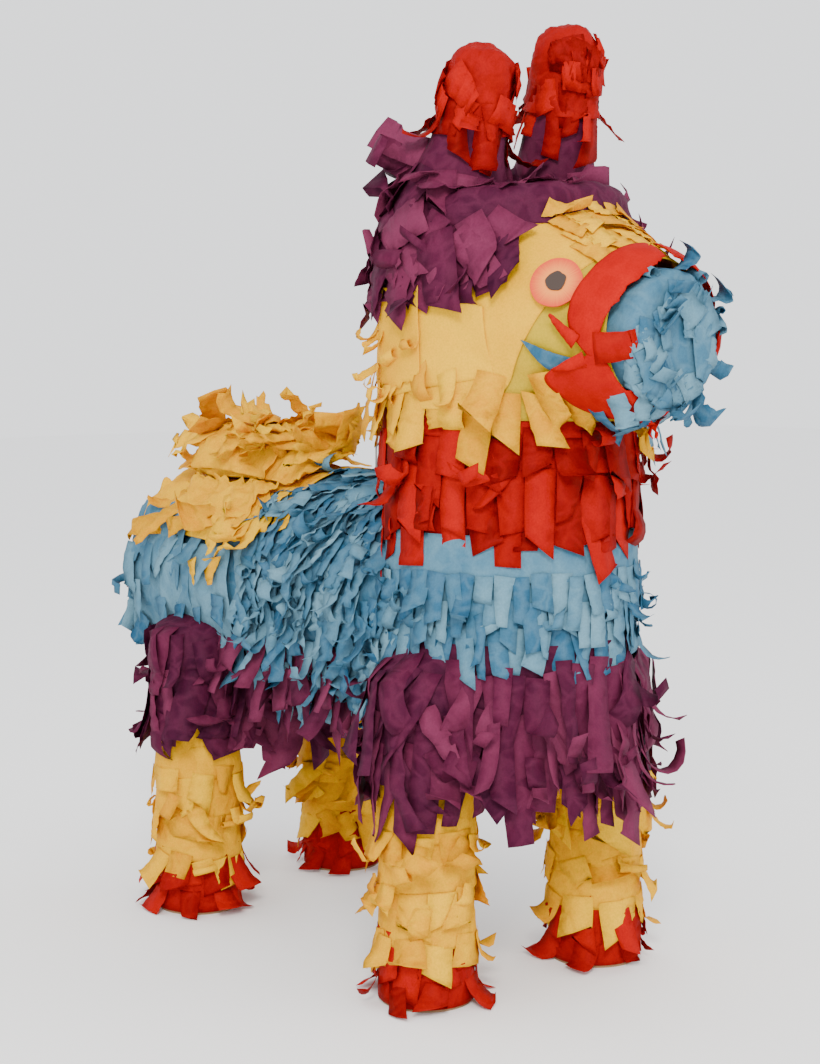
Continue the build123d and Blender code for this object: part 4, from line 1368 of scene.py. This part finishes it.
def make_ear(side, name, length, seed):
    """One ear: a purple sleeve below, a red cap with a rounded tip above."""
    rng = random.Random(seed)
    foot, turn = ear_axis(side)
    at = foot.copy()
    tip = length - 0.019
    form = Form("ear_form", [
        drum(0.034, -0.004, 0.034, at, 0.023, turn), drum(0.0270, 0.0, tip, at, 0.0150, turn),
        ball(0.0175, at + turn @ Vector((0, 0, tip + 0.001)), (1, 1, 1.05)),
        ball(0.0185, at + turn @ Vector((0.001 * side, 0, tip - 0.013)), (1.0, 1, 1.1)),
    ], voxel=0.003, rounds=6)
    up = turn @ Vector((0, 0, 1))
    band = at + up * (length * 0.58)
    place = form.ring(at, turn=turn, reach_out=0.08)
    sleeve = [form.cover("ear_sheet", [(at, up), (band + up * 0.006, -up)], 0.0008, seed, wrinkle=0.0008,
                         size=40, tone=0.45)]
    sleeve += fringe_row(place, -math.pi, math.pi, 0.026, 0.017, 0.034, HAIR_MIX, rng, out=0.002, lift=0.14,
                         twist=0.3, lean=0.25, unit=1 / 0.03)
    sleeve += strays(place, -math.pi, math.pi, 0.016, 0.034, 6, 0.014, 0.032, rng, lift=0.4, lean=0.9)
    if side < 0:
        sleeve += [lay("lifted", place, 2.15, 0.033, 0.019, 0.040, rng, lean=-1.35, lift=0.75, out=0.001,
                       tone=1.0),
                   lay("hooked", place, 2.25, 0.022, 0.017, 0.044, rng, lean=-1.6, lift=0.95, out=0.001,
                       tone=0.5)]
    whole = join(f"ear_purple_{name}", (sleeve, PURPLE))
    finish_piece(whole, "donkey", "tissue_purple", f"ear_sleeve_{name}")
    cap = [form.cover("ear_tip_sheet", [(band - up * 0.002, up)], 0.0020, seed + 1, wrinkle=0.0034, size=80,
                      thick=0.0005, tone=0.5)]
    cap += fringe_row(place, -math.pi, math.pi, length - 0.038, 0.0105, 0.028 + 0.006 * (side > 0), EAR_MIX,
                      rng, out=0.0015, lift=0.05, twist=0.4, lean=0.2, unit=1.5 / 0.0185, spread=0.4)
    cap += fringe_row(place, -math.pi, math.pi, length - 0.030, 0.014, 0.020, FLAT_MIX, rng, out=0.0022,
                      lift=0.05, twist=0.2, lean=0.3, unit=1.1 / 0.0185)
    for _ in range(14):
        angle = rng.uniform(-math.pi, math.pi)
        cap.append(lay(pick(rng, {"limp": 3, "hanging": 3}), place, angle,
                       length - rng.uniform(0.010, 0.034), 0.017, 0.030, rng,
                       lean=rng.choice((-1.35, 1.35)) + rng.gauss(0, 0.25), lift=0.03, twist=0.1,
                       out=0.0036, crumple=0.0009))
    cap += strays(place, -math.pi, math.pi, length - 0.050, length - 0.036, 3, 0.007, 0.030, rng, lift=0.4,
                  lean=0.4, mix={"flicked": 3, "kinked": 2, "lifted": 2, "hooked": 0.5})
    whole = join(f"ear_red_{name}", (cap, RED))
    finish_piece(whole, "donkey", "tissue_red", f"ear_cap_{name}")
    form.drop()


# ---- saddle and flap ----------------------------------------------------------------------------
def crumpled(form, name, edge_a, edge_b, out, seed, deep, size):
    """A deeply crumpled patch with one torn edge."""
    return form.patch(name, edge_a, edge_b, 44, 30, out, seed, wrinkle=deep, size=size, tone=0.6,
                      ragged=0.25, thick=0.0005)


def make_saddle():
    """The gathered yellow tissue: what rides on the flap, and what drapes the barrel."""
    rng = random.Random(61)
    low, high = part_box("flap_cover_yellow")
    mid = (low + high) / 2
    mound = Form("mound_form", [
        between(TUBE_R + 0.003, TUBE_R + 0.003, (0, NECK.y, BARREL_Z), (0, RUMP_Y, BARREL_Z)),
        ball(0.040, (mid.x, mid.y, high.z - 0.034), (0.80, 1.75, 0.72)),
    ], voxel=0.004, rounds=8)
    spots = mound.spots()
    top = high.z
    flap = [
        crumpled(mound, "crumple_a", [(-0.042, 0.050, 0.290), (-0.046, 0.110, 0.292),
                                      (-0.042, 0.192, 0.288)],
                 [(0.006, 0.060, 0.310), (0.010, 0.120, 0.314), (0.006, 0.186, 0.308)], 0.003, 3,
                 deep=0.0120, size=36),
        crumpled(mound, "crumple_b", [(-0.046, 0.086, 0.292), (-0.048, 0.130, 0.296),
                                      (-0.044, 0.178, 0.292)],
                 [(-0.006, 0.078, 0.322), (-0.002, 0.130, 0.326), (-0.008, 0.180, 0.322)], 0.007, 8,
                 deep=0.011, size=40),
        crumpled(mound, "crumple_c", [(-0.030, 0.050, 0.304), (-0.034, 0.090, 0.312),
                                      (-0.034, 0.140, 0.316)],
                 [(0.002, 0.048, 0.304), (0.000, 0.090, 0.322), (0.002, 0.150, 0.318)], 0.009, 17,
                 deep=0.011, size=36),
        crumpled(mound, "crumple_slope", [(0.021, 0.056, 0.301), (0.022, 0.120, 0.301),
                                          (0.021, 0.188, 0.300)],
                 [(-0.004, 0.056, 0.312), (-0.002, 0.120, 0.322), (-0.004, 0.186, 0.312)], 0.0040, 31,
                 deep=0.0045, size=36),
    ]
    for _ in range(34):
        y = rng.uniform(low.y + 0.006, high.y - 0.008)
        x = rng.uniform(low.x + 0.006, 0.004)
        way = (-abs(rng.gauss(0.7, 0.6)), rng.gauss(-0.2, 1.0), -0.3)
        flap.append(lay(pick(rng, WILD_MIX), spots, (x, y, top), way, 0.015 * rng.uniform(0.5, 1.4),
                        0.042 * rng.uniform(0.6, 1.3), rng, lift=abs(rng.gauss(0.15, 0.35)),
                        twist=rng.gauss(0, 0.7), out=0.006, taper=rng.choice((0, 0.3, 0.7)),
                        crumple=0.0014))
    for start, way, kind, width, length, lift in (
        ((-0.036, 0.166, 0.318), (-0.1, -0.5, 1), "looped", 0.014, 0.062, 1.3),
        ((-0.014, 0.064, 0.312), (0.1, -1, 0.1), "lifted", 0.016, 0.050, 0.4),
        ((-0.004, 0.056, 0.308), (0.3, -1, 0.1), "flicked", 0.014, 0.046, 0.5),
        ((0.004, 0.070, 0.314), (0.5, -1, 0.1), "kinked", 0.013, 0.044, 0.6),
        ((-0.020, 0.084, 0.320), (0.1, -0.8, 0.5), "kinked", 0.012, 0.026, 1.0),
        ((-0.030, 0.104, 0.320), (0.2, -0.6, 0.8), "hooked", 0.012, 0.024, 1.1),
    ):
        flap.append(lay(kind, spots, start, way, width, length, rng, lift=lift, twist=0.3, out=0.006,
                        taper=0.4, crumple=0.0012))
    trunk = Form("top_form", [between(TUBE_R, TUBE_R, (0, NECK.y, BARREL_Z), (0, RUMP_Y, BARREL_Z))],
                 voxel=0.004, rounds=2)
    cut_low, cut_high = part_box("fill_flap")
    flap.append(trunk.cover("flap_sheet", [((0, cut_low.y, 0), LEVEL_BACK),
                                           ((0, cut_high.y, 0), (0, -1, 0)),
                                           ((cut_low.x, 0, 0), (1, 0, 0)), ((0.022, 0, 0), (-1, 0, 0)),
                                           ((0, 0, BARREL_Z), LEVEL)], 0.0026, 9, wrinkle=0.0030, size=34,
                            tone=0.4))
    flap.append(trunk.cover("flap_edge_sheet", [((0, cut_low.y, 0), LEVEL_BACK),
                                                ((0, cut_high.y, 0), (0, -1, 0)),
                                                ((0.018, 0, 0), (1, 0, 0)),
                                                ((cut_high.x - 0.001, 0, 0), (-1, 0, 0)),
                                                ((0, 0, BARREL_Z), LEVEL)], 0.0009, 9, wrinkle=0.0005,
                            tone=0.4))
    whole = join("flap_yellow_crumple", (flap, YELLOW))
    finish_piece(whole, "flap", "tissue_yellow", "flap_cover_yellow")
    drape = []
    for side in (-1, 1):
        top_x = -0.050 if side < 0 else -0.058
        drape.append(crumpled(
            mound, "drape", both([(-0.0745, 0.062, 0.256), (-0.0745, 0.110, 0.252), (-0.0745, 0.150, 0.254),
                                  (-0.0745, 0.196, 0.256)], side),
            both([(top_x, 0.052, 0.284), (top_x, 0.110, 0.283), (top_x, 0.150, 0.283),
                  (top_x, 0.200, 0.285)], side),
            0.003, 12 + side, deep=0.0078 if side < 0 else 0.0064, size=40 if side < 0 else 46))
        if side > 0:
            for _ in range(34):
                start = (0.064 + 0.008 * rng.random(), rng.uniform(0.050, 0.200), rng.uniform(0.258, 0.278))
                drape.append(lay(pick(rng, MESSY_MIX), spots, start, (0.3, rng.gauss(0.1, 0.7), -0.9),
                                 0.014 * rng.uniform(0.6, 1.4), 0.032 * rng.uniform(0.7, 1.2), rng,
                                 lift=abs(rng.gauss(0.1, 0.12)), twist=rng.gauss(0, 0.4), out=0.004,
                                 taper=rng.choice((0, 0.4, 0.7)), crumple=0.001))
            continue
        drape.append(crumpled(
            mound, "drape_over", both([(-0.072, 0.080, 0.262), (-0.073, 0.120, 0.258),
                                       (-0.070, 0.160, 0.266)], side),
            both([(-0.046, 0.070, 0.290), (-0.047, 0.120, 0.290), (-0.046, 0.170, 0.290)], side),
            0.006, 22 + side, deep=0.0090, size=50))
        for _ in range(12):
            y = rng.uniform(0.050, 0.198)
            drape.append(lay(pick(rng, WILD_MIX), spots, (-0.060, y, rng.uniform(0.262, 0.284)),
                             (-0.3, rng.gauss(0.1, 0.9), -0.9), 0.014 * rng.uniform(0.6, 1.5),
                             0.034 * rng.uniform(0.7, 1.2), rng, lift=abs(rng.gauss(0.1, 0.2)),
                             twist=rng.gauss(0, 0.5), out=0.003, taper=rng.choice((0, 0.4, 0.7)),
                             crumple=0.001))
    drape.append(lay("limp", spots, (-0.073, 0.172, 0.260), (-0.1, 1, -0.2), 0.016, 0.050, rng, lift=0.1,
                     out=0.004, taper=0.4))
    for start, width in (((-0.078, 0.102, 0.241), 0.024), ((-0.076, 0.124, 0.238), 0.010)):
        drape.append(lay("hanging", spots, start, (0, rng.gauss(0, 0.3), -1), width, 0.017, rng, out=0.005,
                         taper=0.85))
    for side in (-1, 1):
        for y in np.arange(0.052, 0.2, 0.012):
            drape.append(lay("limp", spots, (0.048 * side, y, 0.280), (0.5 * side, rng.gauss(0, 0.5), -0.6),
                             0.015, 0.03, rng, lift=0.03, out=0.0015, crumple=0.0007))
    for first, last, seed in ((cut_high.y + 0.0006, 0.203, 21), (0.046, cut_low.y - 0.0006, 22)):
        drape.append(trunk.cover("saddle_sheet", [((0, first, 0), LEVEL_BACK), ((0, last, 0), (0, -1, 0)),
                                                  ((0, 0, BARREL_Z + 0.048), LEVEL)], 0.0030, seed,
                                 wrinkle=0.0034, size=30, tone=0.5))
    for edge, keep, out, deep in ((cut_low.x - 0.0006, (-1, 0, 0), 0.0024, 0.0026),
                                  (cut_high.x + 0.0015, (1, 0, 0), 0.0008, 0.0005)):
        drape.append(trunk.cover("saddle_side_sheet", [((0, cut_low.y - 0.004, 0), LEVEL_BACK),
                                                       ((0, cut_high.y + 0.004, 0), (0, -1, 0)),
                                                       ((edge, 0, 0), keep),
                                                       ((0, 0, BARREL_Z + 0.040), LEVEL)], out, 23,
                                 wrinkle=deep, size=34, tone=0.5))
    trunk.drop()
    whole = join("saddle_yellow_drape", (drape, YELLOW))
    finish_piece(whole, "donkey", "tissue_yellow", "saddle_yellow")
    mound.drop()


# ---- tail ---------------------------------------------------------------------------------------
def make_tail():
    """Red strips round the rolled-paper tail."""
    rng = random.Random(71)
    low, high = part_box("tail_core")
    bend = Vector((0, (low.y + high.y) / 2 + 0.007, high.z - 0.0025))
    way = Vector((-0.622, 0, -0.783)).normalized()
    turn = way.to_track_quat("-Z", "Y").to_matrix()
    core = Form("tail_form", [drum(0.0035, -0.088, -0.010, bend, 0.0035, turn)], voxel=0.0015, rounds=2)
    place = core.ring(bend, turn=turn, reach_out=0.03)
    strips = [core.cover("tail_sheet", [(bend + way * 0.012, way)], 0.0008, 5, wrinkle=0.0005, tone=0.3)]
    for along in (-0.016, -0.026, -0.036, -0.046, -0.056, -0.066, -0.076):
        for angle in np.arange(-math.pi, math.pi, 0.9):
            strips.append(lay(pick(rng, {"hanging": 3, "limp": 3, "flicked": 2, "hooked": 0.7}), place,
                              angle, along, 0.007, 0.030 * rng.uniform(0.7, 1.1), rng, lift=0.12,
                              twist=rng.gauss(0, 0.5), lean=rng.gauss(0, 0.2)))
    whole = join("tail_red_tassel", (strips, RED))
    finish_piece(whole, "donkey", "tissue_red", "tail_tassel_red")
    core.drop()


make_neck_red()
make_chest_blue()
make_chest_purple()
make_rump_purple()
make_barrel_blue()
make_rump_blue()
for number, leg in enumerate(LEG_NAMES):
    make_leg(leg, 30 + 2 * number)

head = head_form()
nose = muzzle_form()
make_face(head)
make_eyes()
make_halter(head)
make_muzzle(head, nose)
make_hair(head)
make_crown(head)
head.drop()
nose.drop()
make_ear(-1, "right", 0.097, 51)
make_ear(1, "left", 0.115, 54)
make_saddle()
make_tail()

for strip in STRIPS.values():
    bpy.data.objects.remove(strip.model)

FINISHES = {"tissue_red": RED, "tissue_blue": BLUE, "tissue_purple": PURPLE, "tissue_yellow": YELLOW,
            "wire": WIRE, "stick": STICK}
slots = {part["node"]: part["material_slot"] for part in frame["record"]["subparts"]}
for node, thing in frame["nodes"].items():
    thing.data.materials.clear()
    thing.data.materials.append(FINISHES.get(slots[node], BOARD))
